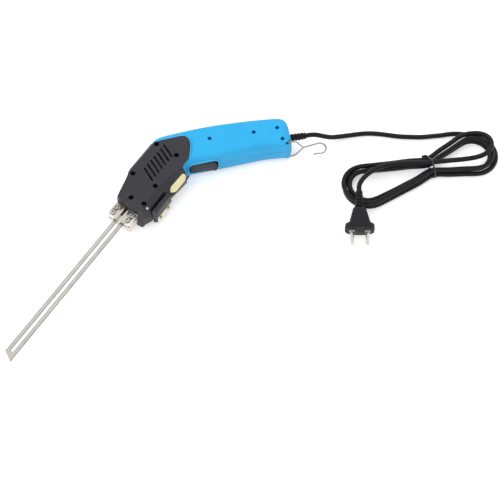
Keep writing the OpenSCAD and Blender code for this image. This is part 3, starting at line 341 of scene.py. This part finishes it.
SMOOTH = smooth_group(SMOOTH_ANGLE)


def finish_solid(obj, bevel):
    weld = obj.modifiers.new("weld", "WELD")
    weld.merge_threshold = WELD
    if bevel > 0:
        edge = obj.modifiers.new("edge", "BEVEL")
        edge.width = bevel
        edge.segments = BEVEL_SEGMENTS
        edge.limit_method = "ANGLE"
        edge.angle_limit = BEVEL_ANGLE
        edge.use_clamp_overlap = True
    smooth = obj.modifiers.new("smooth", "NODES")
    smooth.node_group = SMOOTH


# Bevels of edges that show, in millimetres
EDGES = {
    "terminal_far": 0.35, "terminal_near": 0.35, "jaw_far": 0.5, "jaw_near": 0.5, "trigger": 0.7,
    "guide_block": 0.5, "guide_plate": 0.3, "jaw_screws": 0.25, "cable_clamp": 0.3, "switch_body": 0.4,
    "transformer_core": 0.2, "secondary_bar": 0.2,
}
subpart_slots = {s["node"]: s["material_slot"] for s in frame["record"]["subparts"]}
for name, obj in nodes.items():
    obj.data.materials.clear()
    obj.data.materials.append(NODE_LOOKS.get(name, SLOT_LOOKS[subpart_slots[name]]))
    finish_solid(obj, EDGES.get(name, 0.0) * MM)

# Painted shade on the blade's ground bevels and cut sides: faces that don't lie flat get a darker copy of
# its steel
BLADE_FLAT = 0.995
blade_mesh = nodes["blade"].data
blade_mesh.materials.append(BLADE_SIDE_SHADE)
for face in blade_mesh.polygons:
    if abs(face.normal.z) < BLADE_FLAT:
        face.material_index = 1

# Vent slots: painted shade, a near-black material on their walls and floors. Sizes from here on are in
# millimetres
MID_Z = 21.0
VENT_FROM, VENT_STEP, VENT_COUNT = (23.3, 1.0), 6.9, 7
VENT_WAY = Vector((math.cos(math.radians(64)), math.sin(math.radians(64))))
VENT_LONG, VENT_HALF, VENT_MARGIN = 11.0, 1.15, 0.06
VENT_INNER, VENT_OUTER = 17.0, 20.85


def in_vent(place):
    """Whether a point is inside one of the slots, or on its wall."""
    for i in range(VENT_COUNT):
        off = Vector((place.x - VENT_FROM[0] - VENT_STEP * i, place.y - VENT_FROM[1]))
        along = off.dot(VENT_WAY)
        across = (off - VENT_WAY * along).length
        if abs(along) < VENT_LONG + VENT_HALF and across < VENT_HALF + VENT_MARGIN:
            return True
    return False


for name in ("head_cover_left", "head_cover_right"):
    mesh = nodes[name].data
    mesh.materials.append(VENT_PAINTED_SHADE)
    for face in mesh.polygons:
        place = face.center / MM
        if VENT_INNER < abs(place.z - MID_Z) < VENT_OUTER and in_vent(place):
            face.material_index = 1


# Meshes: rings of points skinned into closed pieces
def surface(name):
    """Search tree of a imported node, for pieces that sit on it."""
    mesh = nodes[name].data
    return BVHTree.FromPolygons([v.co for v in mesh.vertices], [p.vertices for p in mesh.polygons])


def add_mesh(name, skin, mat, body="housing"):
    """A piece on a body, from the vertices in metres and the faces of a skin."""
    verts, faces = skin
    mesh = bpy.data.meshes.new(name)
    mesh.from_pydata([tuple(v) for v in verts], [], faces)
    mesh.validate()
    fixed = bmesh.new()
    fixed.from_mesh(mesh)
    bmesh.ops.recalc_face_normals(fixed, faces=fixed.faces)
    fixed.to_mesh(mesh)
    fixed.free()
    mesh.materials.append(mat)
    obj = add_object(name, mesh)
    obj.modifiers.new("smooth", "NODES").node_group = SMOOTH
    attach(obj, body)
    return obj


def loft(rings, closed=False):
    """Vertices and faces of a skin through equal rings, with flat caps unless it closes on itself."""
    m = len(rings[0])
    n = len(rings)
    verts = [p for r in rings for p in r]
    faces = []
    for k in range(n if closed else n - 1):
        here = k * m
        there = ((k + 1) % n) * m
        for i in range(m):
            j = (i + 1) % m
            faces.append((here + i, here + j, there + j, there + i))
    if not closed:
        faces.append(tuple(range(m - 1, -1, -1)))
        faces.append(tuple((n - 1) * m + i for i in range(m)))
    return verts, faces


def join(parts):
    verts, faces = [], []
    for v, f in parts:
        faces += [tuple(i + len(verts) for i in face) for face in f]
        verts += v
    return verts, faces


def circle(count):
    """Cosine and sine at even steps of a full turn."""
    turns = [2 * math.pi * i / count for i in range(count)]
    return [(math.cos(a), math.sin(a)) for a in turns]


def signed_power(value, power):
    return math.copysign(abs(value) ** power, value)


def unit(v):
    return v / np.linalg.norm(v)


CORNER_SHARE = 0.48


def rounded(points, radii, steps=8):
    """A closed outline with its corners rounded, each over less than half of its sides."""
    p = [np.array(q, float) for q in points]
    out = []
    for i, v in enumerate(p):
        before = p[i - 1] - v
        after = p[(i + 1) % len(p)] - v
        start = v + unit(before) * min(radii[i], np.linalg.norm(before) * CORNER_SHARE)
        end = v + unit(after) * min(radii[i], np.linalg.norm(after) * CORNER_SHARE)
        for k in range(steps + 1):
            t = k / steps
            out.append(start * (1 - t) ** 2 + v * 2 * t * (1 - t) + end * t * t)
    return out


def dense(points, gap):
    """A line with more points on it, about one gap apart."""
    out = [points[0]]
    for p, q in zip(points, points[1:]):
        n = max(1, int(np.linalg.norm(q - p) / gap))
        out += [p + (q - p) * k / n for k in range(1, n + 1)]
    return out


# Mains lead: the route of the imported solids
CORD_D = 6.2
HALF = CORD_D / 2
BEND = math.radians(-47)
HANDLE_X = 79.0
RELIEF_ALONG, RELIEF_ACROSS, FIRST_RUN = 165.0, -2.0, 1.5
LEAD_POINTS = [[205, -139, 16], [213, -147, 10], [222, -154, 6], [231, -162, 4], [240, -171, HALF],
               [248, -181, HALF], [255, -193, HALF], [261, -206, HALF], [267, -219, HALF],
               [274, -231, HALF], [281, -242, HALF], [290, -253, HALF], [297.5, -262, HALF],
               [304.5, -269.5, HALF], [311, -278.5, HALF]]
TAIL_POINTS = [[319.8, -300, 10.8], [321.4, -309.7, 13.2], [317.6, -319.4, 16], [309.6, -325.7, 17.2],
               [299.6, -327.2, 17.5], [290, -323.7, 17], [280, -315, 15.8], [271, -305, 15.6],
               [258, -290.5, 17], [244.5, -275, 18], [233.5, -260, 18], [222.5, -244.5, 17.8],
               [213, -233.5, 17.8], [203, -225, 18], [191.5, -219.5, 18.8], [180, -216.8, 19.8],
               [170, -216.3, 20.2]]
HANK_AT = (244.0, -276.0)
HANK_TURN = math.radians(-36.3)
HANK_FROM, HANK_TO, RING_STEP, HALF_DEGREE = 30.0, -1040.0, 10.0, 0.5
HANK_RIGHT, HANK_LEFT, WAIST = 89.0, 118.0, 12.4
FOLD_RIGHT, FOLD_LEFT, LEFT_DRIFT = 29.5, 31.0, 4.0
LOOP_STEP, FOLD_STEP, REACH_STEP = 7.4, 7.6, 7.4
LAYER_STEP, TIE_LIFT, LIFT_POWER = 7.0, 1.2, 8
CLIMB_FROM, CLIMB_SPAN = -470.0, 120.0
JOIN_RUN, ROUTE_STEPS, TUBE_STEPS = 2, 6, 6
PLUG_YAW, PLUG_TILT, PLUG_LIFT = math.radians(-148), math.radians(6.5), 2.2
PLUG_ENTRY = np.array([156.5, -221.5, HALF + 2 * LAYER_STEP + PLUG_LIFT])


def at_handle(along, across, z):
    return np.array([HANDLE_X + along * math.cos(BEND) - across * math.sin(BEND),
                     along * math.sin(BEND) + across * math.cos(BEND), z])


def ease(t):
    u = min(1.0, max(0.0, t))
    return u * u * (3 - 2 * u)


def in_hank(x, y, z):
    """A point of the hank's own frame, along and across it."""
    return np.array([HANK_AT[0] + x * math.cos(HANK_TURN) - y * math.sin(HANK_TURN),
                     HANK_AT[1] + x * math.sin(HANK_TURN) + y * math.cos(HANK_TURN), z])


def across_hank(p):
    """Along, across and height of a point, in the hank's frame."""
    x, y = p[0] - HANK_AT[0], p[1] - HANK_AT[1]
    return (x * math.cos(HANK_TURN) + y * math.sin(HANK_TURN),
            y * math.cos(HANK_TURN) - x * math.sin(HANK_TURN), p[2])


def drop_width(x, reach, r, w):
    """Half a loop's width: straight from the waist to the fold's circle, and then round that."""
    mid = reach - r
    flare = math.asin(r / math.hypot(mid, w)) - math.atan2(w, mid)
    if x < mid - r * math.sin(flare):
        return w + x * math.tan(flare)
    return math.sqrt(max(0.0, r * r - (x - mid) ** 2))


def hank_point(a):
    """A point of the loops at an angle in degrees, which runs on over all the turns."""
    d = min(HANK_FROM - a, a - HANK_TO) / 360
    c, s = math.cos(math.radians(a)), math.sin(math.radians(a))
    reach = (HANK_RIGHT if c > 0 else HANK_LEFT) - REACH_STEP * d
    fold = (FOLD_RIGHT if c > 0 else FOLD_LEFT) - FOLD_STEP * d
    y = math.copysign(drop_width(reach * abs(c), reach, fold, WAIST - LOOP_STEP * d), s)
    if c < 0:
        y += LEFT_DRIFT * c * c
    z = HALF + LAYER_STEP * ease((CLIMB_FROM - a) / CLIMB_SPAN) + TIE_LIFT * s ** LIFT_POWER
    return in_hank(reach * c, y, z)


def through(points, steps):
    """A natural cubic spline through points, with several steps between each two."""
    p = np.array(points, float)
    gap = np.linalg.norm(np.diff(p, axis=0), axis=1)
    n = len(p)
    left = np.eye(n)
    right = np.zeros((n, 3))
    for i in range(1, n - 1):
        left[i, i - 1:i + 2] = (gap[i - 1], 2 * (gap[i - 1] + gap[i]), gap[i])
        right[i] = 6 * ((p[i + 1] - p[i]) / gap[i] - (p[i] - p[i - 1]) / gap[i - 1])
    curl = np.linalg.solve(left, right)
    out = []
    for i in range(n - 1):
        h = gap[i]
        for k in range(steps):
            t = h * k / steps
            u = h - t
            out.append((curl[i] * u ** 3 + curl[i + 1] * t ** 3) / (6 * h)
                       + (p[i] / h - curl[i] * h / 6) * u + (p[i + 1] / h - curl[i + 1] * h / 6) * t)
    return out + [p[-1]]


RELIEF_END = at_handle(RELIEF_ALONG, RELIEF_ACROSS, MID_Z)
first_point = at_handle(RELIEF_ALONG + FIRST_RUN * CORD_D, RELIEF_ACROSS, MID_Z)
plug_axis = np.array([math.cos(PLUG_YAW) * math.cos(PLUG_TILT), math.sin(PLUG_YAW) * math.cos(PLUG_TILT),
                      -math.sin(PLUG_TILT)])
hank_rings = [hank_point(a) for a in np.arange(HANK_FROM, HANK_TO - 1, -RING_STEP)]
hank_in = unit(hank_point(HANK_FROM - HALF_DEGREE) - hank_point(HANK_FROM + HALF_DEGREE))
plug_points = [PLUG_ENTRY - CORD_D * plug_axis, PLUG_ENTRY, PLUG_ENTRY + CORD_D * plug_axis]
route = through([RELIEF_END, first_point] + LEAD_POINTS + [hank_rings[0] - JOIN_RUN * CORD_D * hank_in]
                + hank_rings + TAIL_POINTS + plug_points, ROUTE_STEPS)
route = [np.maximum(p, (-np.inf, -np.inf, HALF)) * MM for p in route]

cord_data = bpy.data.curves.new("mains_cord", "CURVE")
cord_data.dimensions = "3D"
cord_data.bevel_depth = HALF * MM
cord_data.bevel_resolution = TUBE_STEPS
cord_data.use_fill_caps = True
cord_spline = cord_data.splines.new("POLY")
cord_spline.points.add(len(route) - 1)
for point, place in zip(cord_spline.points, route):
    point.co = (*place, 1.0)
cord_spline.use_smooth = True
cord_data.materials.append(RUBBER)
cord = add_object("mains_cord", cord_data)
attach(cord, "housing")
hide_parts("cord_lead", "cord_hank", "cord_tail")

# Plug: ribbed sleeve, crowned grip and a notched flange, in the plug's own frame
SLEEVE, GRIP, FLANGE = 23.0, 23.0, 8.0
# Height, width, depth and squareness of the grip's rings
GRIP_SHAPE = [(0.0, 11.5, 10.5, 2.2), (0.6, 14.5, 12.0, 3.0), (2.0, 16.6, 13.2, 4.0),
              (7.0, 18.8, 15.0, 4.6), (13.0, 21.8, 16.6, 5.0), (19.0, 25.0, 18.4, 5.0),
              (22.0, 27.0, 19.2, 4.6), (23.6, 28.6, 20.4, 4.2)]
FLANGE_X, FLANGE_Y, FLANGE_POWER, FLANGE_SIDES = 18.5, 13.0, 0.86, 96
NOTCH_HALF, NOTCH_DEEP = 3.4, 3.2
# How far each ring of the flange stands back, and its height
FLANGE_SHAPE = [(1.0, 0.0), (0.3, 0.3), (0.0, 1.0), (0.0, FLANGE - 0.8), (0.25, FLANGE - 0.25),
                (0.8, FLANGE)]
# Diameter and height of the sleeve's rings, and of each rib's rings over the rib's own
SLEEVE_SHAPE = [(6.8, 0.3), (8.0, 0.0), (8.2, 0.6), (7.0, 1.4), (7.4, SLEEVE + 1)]
RIB_SHAPE = [(-1.0, -0.2), (0.0, 0.3), (0.2, 1.9), (-0.8, 2.4)]
ROUND, RIB_SQUARENESS, SPINE_SQUARENESS = 2.0, 2.2, 3.0
RIB_COUNT, RIB_FROM, RIB_STEP, RIB_D, RIB_GROW = 5, 0.8, 4.5, 8.3, 2.9
SPINE_HEIGHTS, SPINE_SIDES = (1.0, 8.0, 16.0, SLEEVE + 1), 20
SPINE_OUT, SPINE_SPREAD, SPINE_WIDE, SPINE_DEEP, SPINE_TAPER = 2.7, 1.3, 2.4, 4.4, 12.0
PIN_SIDE, COLLAR_SIDES = 9.5, 32
COLLAR_SHAPE = [(2.45, -0.3), (3.3, -0.3), (3.3, 0.5), (3.0, 0.9), (2.45, 0.9)]

plug_place = (Matrix.Translation(Vector(PLUG_ENTRY)) @ Matrix.Rotation(PLUG_YAW, 4, "Z")
              @ Matrix.Rotation(math.pi / 2 + PLUG_TILT, 4, "Y") @ Matrix.Rotation(math.pi / 2, 4, "Z"))


def in_plug(skin):
    verts, faces = skin
    return [(plug_place @ Vector(v)) * MM for v in verts], faces


def oblong(w, h, z, power, count=48):
    """A rounded-square ring, w by h across, at height z."""
    return [(w / 2 * signed_power(c, 2 / power), h / 2 * signed_power(s, 2 / power), z)
            for c, s in circle(count)]


def flange_ring(back, z):
    ring = []
    for c, s in circle(FLANGE_SIDES):
        x = (FLANGE_X - back) * signed_power(c, FLANGE_POWER)
        y = (FLANGE_Y - back) * signed_power(s, FLANGE_POWER)
        notch = max(0.0, 1 - (y / NOTCH_HALF) ** 2)
        if notch > 0:
            x -= math.copysign(NOTCH_DEEP * math.sqrt(notch), x)
        ring.append((x, y, z))
    return ring


def spine_ring(side, z):
    """A ring of one of the two bars that join the ribs."""
    out = side * (SPINE_OUT + SPINE_SPREAD * z / SLEEVE)
    ring = oblong(SPINE_WIDE, SPINE_DEEP + z / SPINE_TAPER, z, SPINE_SQUARENESS, SPINE_SIDES)
    return [(x + out, y, z) for x, y, _ in ring]


flange_z = SLEEVE + GRIP
plug_parts = [loft([oblong(w, h, SLEEVE + z, p) for z, w, h, p in GRIP_SHAPE]),
              loft([flange_ring(back, flange_z + z) for back, z in FLANGE_SHAPE]),
              loft([oblong(d, d, z, ROUND) for d, z in SLEEVE_SHAPE])]
for i in range(RIB_COUNT):
    rib_d = RIB_D + RIB_GROW * i / (RIB_COUNT - 1)
    rib_z = RIB_FROM + i * RIB_STEP
    rib = [oblong(rib_d + d, rib_d + d, rib_z + z, RIB_SQUARENESS) for d, z in RIB_SHAPE]
    plug_parts.append(loft(rib))
for side in (-1, 1):
    plug_parts.append(loft([spine_ring(side, z) for z in SPINE_HEIGHTS]))
plug = add_mesh("plug_moulding", in_plug(join(plug_parts)), PLUG)
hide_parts("plug_body")

collar_parts = []
for side in (-1, 1):
    rings = [[(side * PIN_SIDE + r * c, r * s, flange_z + FLANGE + z) for c, s in circle(COLLAR_SIDES)]
             for r, z in COLLAR_SHAPE]
    collar_parts.append(loft(rings, closed=True))
collars = add_mesh("pin_collars", in_plug(join(collar_parts)), NICKEL)

# Tie: a thin covered wire drawn tight round the strands at the hank's waist, its ends twisted together
TIE_WIDE, TIE_THICK, TIE_SLACK, TIE_STEP = 2.2, 0.7, 0.4, 0.8
TIE_HALF_REACH, TIE_LOWEST, TIE_SIDES, STRAND_GROW = 25.0, 0.5, 32, 1.04
# Places on the tie's cross-section, as shares of half its width and of half its thickness
TIE_SHAPE = [(-1.0, 0.0), (-0.9, 0.6), (-0.35, 0.6), (-0.2, 1.0), (0.2, 1.0), (0.35, 0.6), (0.9, 0.6),
             (1.0, 0.0), (0.9, -0.5), (-0.9, -0.5)]
KNOT_LEAN, KNOT_AT, KNOT_OUT, KNOT_ARCH, KNOT_WAVE = 0.6, (-0.3, 0.2, 0.9), 0.5, 0.3, 3.0
TWIST_TURNS, TWIST_LEN, TWIST_POINTS, TWIST_R = 2.6, 6.4, 40, 0.7
STRAND_R, STRAND_SIDES = 0.95, 8

hugged = []
tie_r = HALF * STRAND_GROW + TIE_SLACK
for a, b in zip(route, route[1:]):
    a, b = across_hank(a / MM), across_hank(b / MM)
    if (a[0] > 0) != (b[0] > 0) and abs(a[1]) < TIE_HALF_REACH:
        t = a[0] / (a[0] - b[0])
        y = a[1] + (b[1] - a[1]) * t
        z = a[2] + (b[2] - a[2]) * t
        hugged += [Vector((y + tie_r * c, max(TIE_LOWEST, z + tie_r * s))) for c, s in circle(TIE_SIDES)]
tie_hull = [np.array(hugged[i]) for i in convex_hull_2d(hugged)]
tie_line = dense(tie_hull + tie_hull[:1], TIE_STEP)[:-1]
tie_rings = []
for i, p in enumerate(tie_line):
    run = unit(tie_line[(i + 1) % len(tie_line)] - tie_line[i - 1])
    out = np.array([run[1], -run[0]])
    ring = []
    for along, rise in TIE_SHAPE:
        q = p + out * rise * TIE_THICK / 2
        ring.append(Vector(in_hank(along * TIE_WIDE / 2, q[0], q[1])) * MM)
    tie_rings.append(ring)
tie_parts = [loft(tie_rings, closed=True)]
tie_far = max(tie_line, key=lambda q: q[0] + KNOT_LEAN * q[1])
for phase in (0.0, math.pi):
    strand = []
    for k in range(TWIST_POINTS):
        t = k / (TWIST_POINTS - 1)
        turn = phase + t * 2 * math.pi * TWIST_TURNS
        centre = Vector((KNOT_AT[0] - TWIST_LEN * t, tie_far[0] + KNOT_AT[1] + KNOT_OUT * t,
                         tie_far[1] + KNOT_AT[2] + KNOT_ARCH * math.sin(KNOT_WAVE * t)))
        centre += Vector((0, math.cos(turn), math.sin(turn))) * TWIST_R
        strand.append([Vector(in_hank(centre.x, centre.y + STRAND_R * c, centre.z + STRAND_R * s)) * MM
                       for c, s in circle(STRAND_SIDES)])
    tie_parts.append(loft(strand))
tie = add_mesh("twist_tie", join(tie_parts), TIE_SKIN)
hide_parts("cord_tie")

# Blue rim that stands up round the black tongue, in the lighter blue of painted highlight
JOINT_X, TONGUE_LEN, HEAD_NEAR, HEAD_FAR = 60.0, 36.0, 34.0, 28.5
TONGUE_SHARES = [(-0.15, 0.8), (0.2, 0.8), (1, -0.09), (0.9, -0.4), (0.33, -0.77), (-0.15, -0.775)]
TONGUE_CORNERS = [1, 9, 7, 7, 8, 1]
LINE_STEP, SAME_POINT, ABOVE = 1.0, 1e-6, 60.0
RIM_W, RIM_H, RIM_GAP, RIM_SINK, RIM_FROM, RIM_TAPER = 1.5, 1.75, 0.25, 0.6, 3.4, 6
# Places across the rim, as shares of half its width, and their heights
RIM_SHAPE = [(-1, -RIM_SINK), (-1, 0.62 * RIM_H), (-0.72, 0.9 * RIM_H), (-0.25, RIM_H), (0.25, RIM_H),
             (0.72, 0.88 * RIM_H), (1, 0.55 * RIM_H), (1.25, 0.1 * RIM_H), (1.25, -RIM_SINK)]
shell_tree = surface("handle_shell_left")
cover_tree = surface("head_cover_left")


def drop_on(tree, x, y):
    """The highest point of a piece at a place, and its normal there, in metres."""
    hit = tree.ray_cast(Vector((x, y, ABOVE)) * MM, Vector((0, 0, -1)))
    return hit[0], hit[1]


tongue_points = [(JOINT_X + sx * TONGUE_LEN, sy * (HEAD_NEAR if sy < 0 else HEAD_FAR))
                 for sx, sy in TONGUE_SHARES]
tongue_line = dense(rounded(tongue_points, TONGUE_CORNERS), LINE_STEP)
tongue_line = [p for p in tongue_line if p[0] > JOINT_X + RIM_FROM]
last_point = len(tongue_line) - 1
rim_rings = []
for i, p in enumerate(tongue_line):
    step = tongue_line[min(last_point, i + 1)] - tongue_line[max(0, i - 1)]
    if np.linalg.norm(step) < SAME_POINT:
        continue
    run = unit(step)
    out = np.array([-run[1], run[0]])
    mid = p + out * (RIM_GAP + RIM_W / 2)
    hit, _ = drop_on(shell_tree, mid[0], mid[1])
    if hit is None:
        continue
    base = hit.z / MM
    taper = min(1.0, min(i, last_point - i) / RIM_TAPER)
    ring = []
    for across, lift in RIM_SHAPE:
        q = mid + out * across * RIM_W / 2
        ring.append(Vector((q[0], q[1], base + (lift * taper if lift > 0 else lift))) * MM)
    rim_rings.append(ring)
add_mesh("tongue_rim", loft(rim_rings), BLUE_PAINTED_HIGHLIGHT)

# Raised lip round the trigger's opening, over both shells, in the lighter blue of painted highlight
OPENING_FROM, OPENING_TO, OPENING_HALF, OPENING_CORNER, OUTSIDE = 12.6, 49.4, 9.0, 6.0, -60.0
LIP_GAP, LIP_W, LIP_H, LIP_SINK = 0.3, 1.8, 1.6, 0.5
# Places across the lip, as shares of half its width, and their heights
LIP_SHAPE = [(-1, -LIP_SINK), (-1, 0.7 * LIP_H), (-0.75, 0.95 * LIP_H), (-0.3, LIP_H), (0.4, LIP_H),
             (0.8, 0.9 * LIP_H), (1, 0.6 * LIP_H), (1.2, 0.05 * LIP_H), (1.2, -LIP_SINK)]
lower_tree = surface("handle_shell_right")
inward = Vector((-math.sin(BEND), math.cos(BEND), 0.0))


def on_grip(along, rise):
    """The near wall of the handle, at a place along it and above its middle."""
    start = Vector(at_handle(along, OUTSIDE, MID_Z + rise)) * MM
    hits = [tree.ray_cast(start, inward) for tree in (shell_tree, lower_tree)]
    hits = [h for h in hits if h[0] is not None]
    return min(hits, key=lambda h: h[3])[0] if hits else None


grow = LIP_GAP + LIP_W / 2
lip_from, lip_to, lip_half = OPENING_FROM - grow, OPENING_TO + grow, OPENING_HALF + grow
lip_corners = [(lip_from, -lip_half), (lip_to, -lip_half), (lip_to, lip_half), (lip_from, lip_half)]
lip_line = rounded(lip_corners, [OPENING_CORNER + grow] * len(lip_corners))
lip_line = dense(lip_line + lip_line[:1], LINE_STEP)[:-1]
lip_rings = []
for i, p in enumerate(lip_line):
    run = unit(lip_line[(i + 1) % len(lip_line)] - lip_line[i - 1])
    out = np.array([run[1], -run[0]])
    ring = []
    for across, rise in LIP_SHAPE:
        seat = on_grip(*(p + out * across * LIP_W / 2))
        if seat is not None:
            ring.append(seat - inward * rise * MM)
    if len(ring) == len(LIP_SHAPE):
        lip_rings.append(ring)
add_mesh("trigger_lip", loft(lip_rings, closed=True), BLUE_PAINTED_HIGHLIGHT)

# Straight end of the hanging hook, on from the solid's loop: places along and across it from its pivot
HOOK_PIVOT = Vector((159.502, -114.307, MID_Z))
HOOK_RUN = Vector((math.cos(BEND), math.sin(BEND), 0.0))
HOOK_END = [(39.8, -12.62), (38.74, -12.36), (37.6, -12.14), (36.4, -12.05), (35.0, -12.1), (33.5, -12.25),
            (32.0, -12.5)]
WIRE_D, WIRE_SIDES = 2.0, 16
# How far the rounded end's rings stand out, and their sizes, as shares of the wire's radius
HOOK_TIP = [(0.45, 0.87), (0.8, 0.55), (0.98, 0.15)]
tip_rings = []
for i, (along, across) in enumerate(HOOK_END):
    ahead = HOOK_END[min(i + 1, len(HOOK_END) - 1)]
    behind = HOOK_END[max(i - 1, 0)]
    run = unit(np.array(ahead) - np.array(behind))
    spread = HOOK_RUN * -run[1] + inward * run[0]
    centre = HOOK_PIVOT + HOOK_RUN * along + inward * across
    tip_rings.append([(centre + (spread * c + Vector((0, 0, s))) * WIRE_D / 2) * MM
                      for c, s in circle(WIRE_SIDES)])
wire_ring = tip_rings[-1]
wire_end = sum(wire_ring, Vector()) / WIRE_SIDES
for ahead, size in HOOK_TIP:
    centre = wire_end - HOOK_RUN * ahead * WIRE_D / 2 * MM
    tip_rings.append([centre + (p - wire_end) * size for p in wire_ring])
add_mesh("hook_tip", loft(tip_rings), WIRE, "hook")

# Bare plate on the near facet of the head
PLATE_FROM, PLATE_TO, PLATE_HALF = 24.5, 53.5, 6.0
PLATE_NOSE, PLATE_NOSE_LOW, PLATE_NOSE_HIGH, PLATE_CUT = 6.0, 1.5, 3.5, 3.0
PLATE_CORNER, PLATE_CORNER_STEPS = 1.5, 4
# How far each ring of the plate stands in from its edge, and its lift off the facet
PLATE_SHAPE = [(0.0, -0.1), (0.0, 0.22), (0.15, 0.3), (0.9, 0.3), (1.1, 0.24), (2.0, 0.24), (4.0, 0.24),
               (5.9, 0.24)]
FACET_Y, FACET_Z, FACET_OFF = -31.4, 28.0, 30.0
FACET_UP = Vector((0, 0.42, 0.91))
FACET_IN = Vector((0, 0.83, -0.56))
plate_points = [(PLATE_FROM, -PLATE_NOSE_LOW), (PLATE_FROM + PLATE_NOSE, -PLATE_HALF),
                (PLATE_TO - PLATE_CUT, -PLATE_HALF), (PLATE_TO, PLATE_CUT - PLATE_HALF),
                (PLATE_TO, PLATE_HALF - PLATE_CUT), (PLATE_TO - PLATE_CUT, PLATE_HALF),
                (PLATE_FROM + PLATE_CUT, PLATE_HALF), (PLATE_FROM, PLATE_HALF - PLATE_NOSE_HIGH)]
plate_line = rounded(plate_points, [PLATE_CORNER] * len(plate_points), PLATE_CORNER_STEPS)
plate_mid = np.array([(PLATE_FROM + PLATE_TO) / 2, 0.0])


def on_near_facet(x, up, lift):
    """A point on the near facet: x along the head, up from the facet's middle, lifted off the surface."""
    start = Vector((x, FACET_Y, FACET_Z)) + FACET_UP * up - FACET_IN * FACET_OFF
    hit = cover_tree.ray_cast(start * MM, FACET_IN)
    return hit[0] + hit[1] * lift * MM


def plate_ring(shrink, lift):
    shares = np.array([1 - shrink / (PLATE_TO - PLATE_FROM) * 2, 1 - shrink / PLATE_HALF])
    return [on_near_facet(*(plate_mid + (p - plate_mid) * shares), lift) for p in plate_line]


plate_rings = [plate_ring(shrink, lift) for shrink, lift in PLATE_SHAPE]
add_mesh("bare_plate", loft(plate_rings), PLATE)

# Small lamp beside the front screw: each ring's radius as a share of the lens's, and its height
LENS_AT, LENS_R, LENS_SIDES = (-15.3, -24.4), 1.25, 28
LENS_SHAPE = [(1.25, -0.5), (1.25, 0.15), (1.05, 0.3), (0.95, 0.25), (0.9, 0.55), (0.65, 0.8), (0.3, 0.95),
              (0.06, 1.0)]
lens_hit, lens_up = drop_on(cover_tree, *LENS_AT)
lens_side = lens_up.orthogonal().normalized()
lens_other = lens_up.cross(lens_side)
lens_rings = []
for r, rise in LENS_SHAPE:
    centre = lens_hit + lens_up * rise * MM
    lens_rings.append([centre + (lens_side * c + lens_other * s) * r * LENS_R * MM
                       for c, s in circle(LENS_SIDES)])
add_mesh("front_lens", loft(lens_rings), LENS)

# Floor, world and lamps, in metres
FLOOR, FLOOR_DROP, FLOOR_GLOW, WORLD_LIGHT = 6.0, 0.0002, 0.42, 0.42
WHITE, PALE = (1.0, 1.0, 1.0, 1.0), (0.9, 0.9, 0.9, 1.0)


def seen_rays(tree):
    """1 for camera, glossy and transmission rays."""
    path = tree.nodes.new("ShaderNodeLightPath")
    first = tree.nodes.new("ShaderNodeMath")
    first.operation = "MAXIMUM"
    tree.links.new(path.outputs["Is Camera Ray"], first.inputs[0])
    tree.links.new(path.outputs["Is Glossy Ray"], first.inputs[1])
    second = tree.nodes.new("ShaderNodeMath")
    second.operation = "MAXIMUM"
    tree.links.new(first.outputs[0], second.inputs[0])
    tree.links.new(path.outputs["Is Transmission Ray"], second.inputs[1])
    return second.outputs[0]


def by_rays(tree, unseen, seen, socket):
    """One strength for the rays that are seen, and another for the rest."""
    node = tree.nodes.new("ShaderNodeMapRange")
    node.inputs["To Min"].default_value = unseen
    node.inputs["To Max"].default_value = seen
    tree.links.new(seen_rays(tree), node.inputs["Value"])
    tree.links.new(node.outputs["Result"], socket)


floor_mesh = bpy.data.meshes.new("floor")
floor_mesh.from_pydata([(-FLOOR, -FLOOR, 0), (FLOOR, -FLOOR, 0), (FLOOR, FLOOR, 0), (-FLOOR, FLOOR, 0)], [],
                       [(0, 1, 2, 3)])
floor = add_object("floor", floor_mesh)
floor.location.z = cad_low.z - FLOOR_DROP
floor_mat = bpy.data.materials.new("floor")
floor_mat.use_nodes = True
floor_bsdf = floor_mat.node_tree.nodes["Principled BSDF"]
floor_bsdf.inputs["Base Color"].default_value = PALE
floor_bsdf.inputs["Roughness"].default_value = 0.9
floor_bsdf.inputs["Specular IOR Level"].default_value = 0.1
floor_bsdf.inputs["Emission Color"].default_value = WHITE
by_rays(floor_mat.node_tree, 0.0, FLOOR_GLOW, floor_bsdf.inputs["Emission Strength"])
floor_mesh.materials.append(floor_mat)

world = bpy.data.worlds.new("world")
scene.world = world
world.use_nodes = True
back = world.node_tree.nodes["Background"]
back.inputs["Color"].default_value = WHITE
by_rays(world.node_tree, WORLD_LIGHT, 1.0, back.inputs["Strength"])


def area_light(name, place, size, power):
    """A soft round lamp, which neither the camera nor the metal shows."""
    data = bpy.data.lights.new(name, "AREA")
    data.shape = "DISK"
    data.size = size
    data.energy = power
    obj = add_object(name, data)
    obj.location = place
    obj.rotation_euler = (LIT - Vector(place)).to_track_quat("-Z", "Y").to_euler()
    obj.visible_camera = False
    obj.visible_glossy = False


LIT = Vector((0.06, -0.13, 0.0))
area_light("key", (-0.8, 0.9, 1.6), size=3.2, power=34.0)
area_light("fill", (-0.9, -0.9, 1.2), size=1.4, power=7.0)
area_light("side", (1.2, -0.2, 1.1), size=1.0, power=6.0)
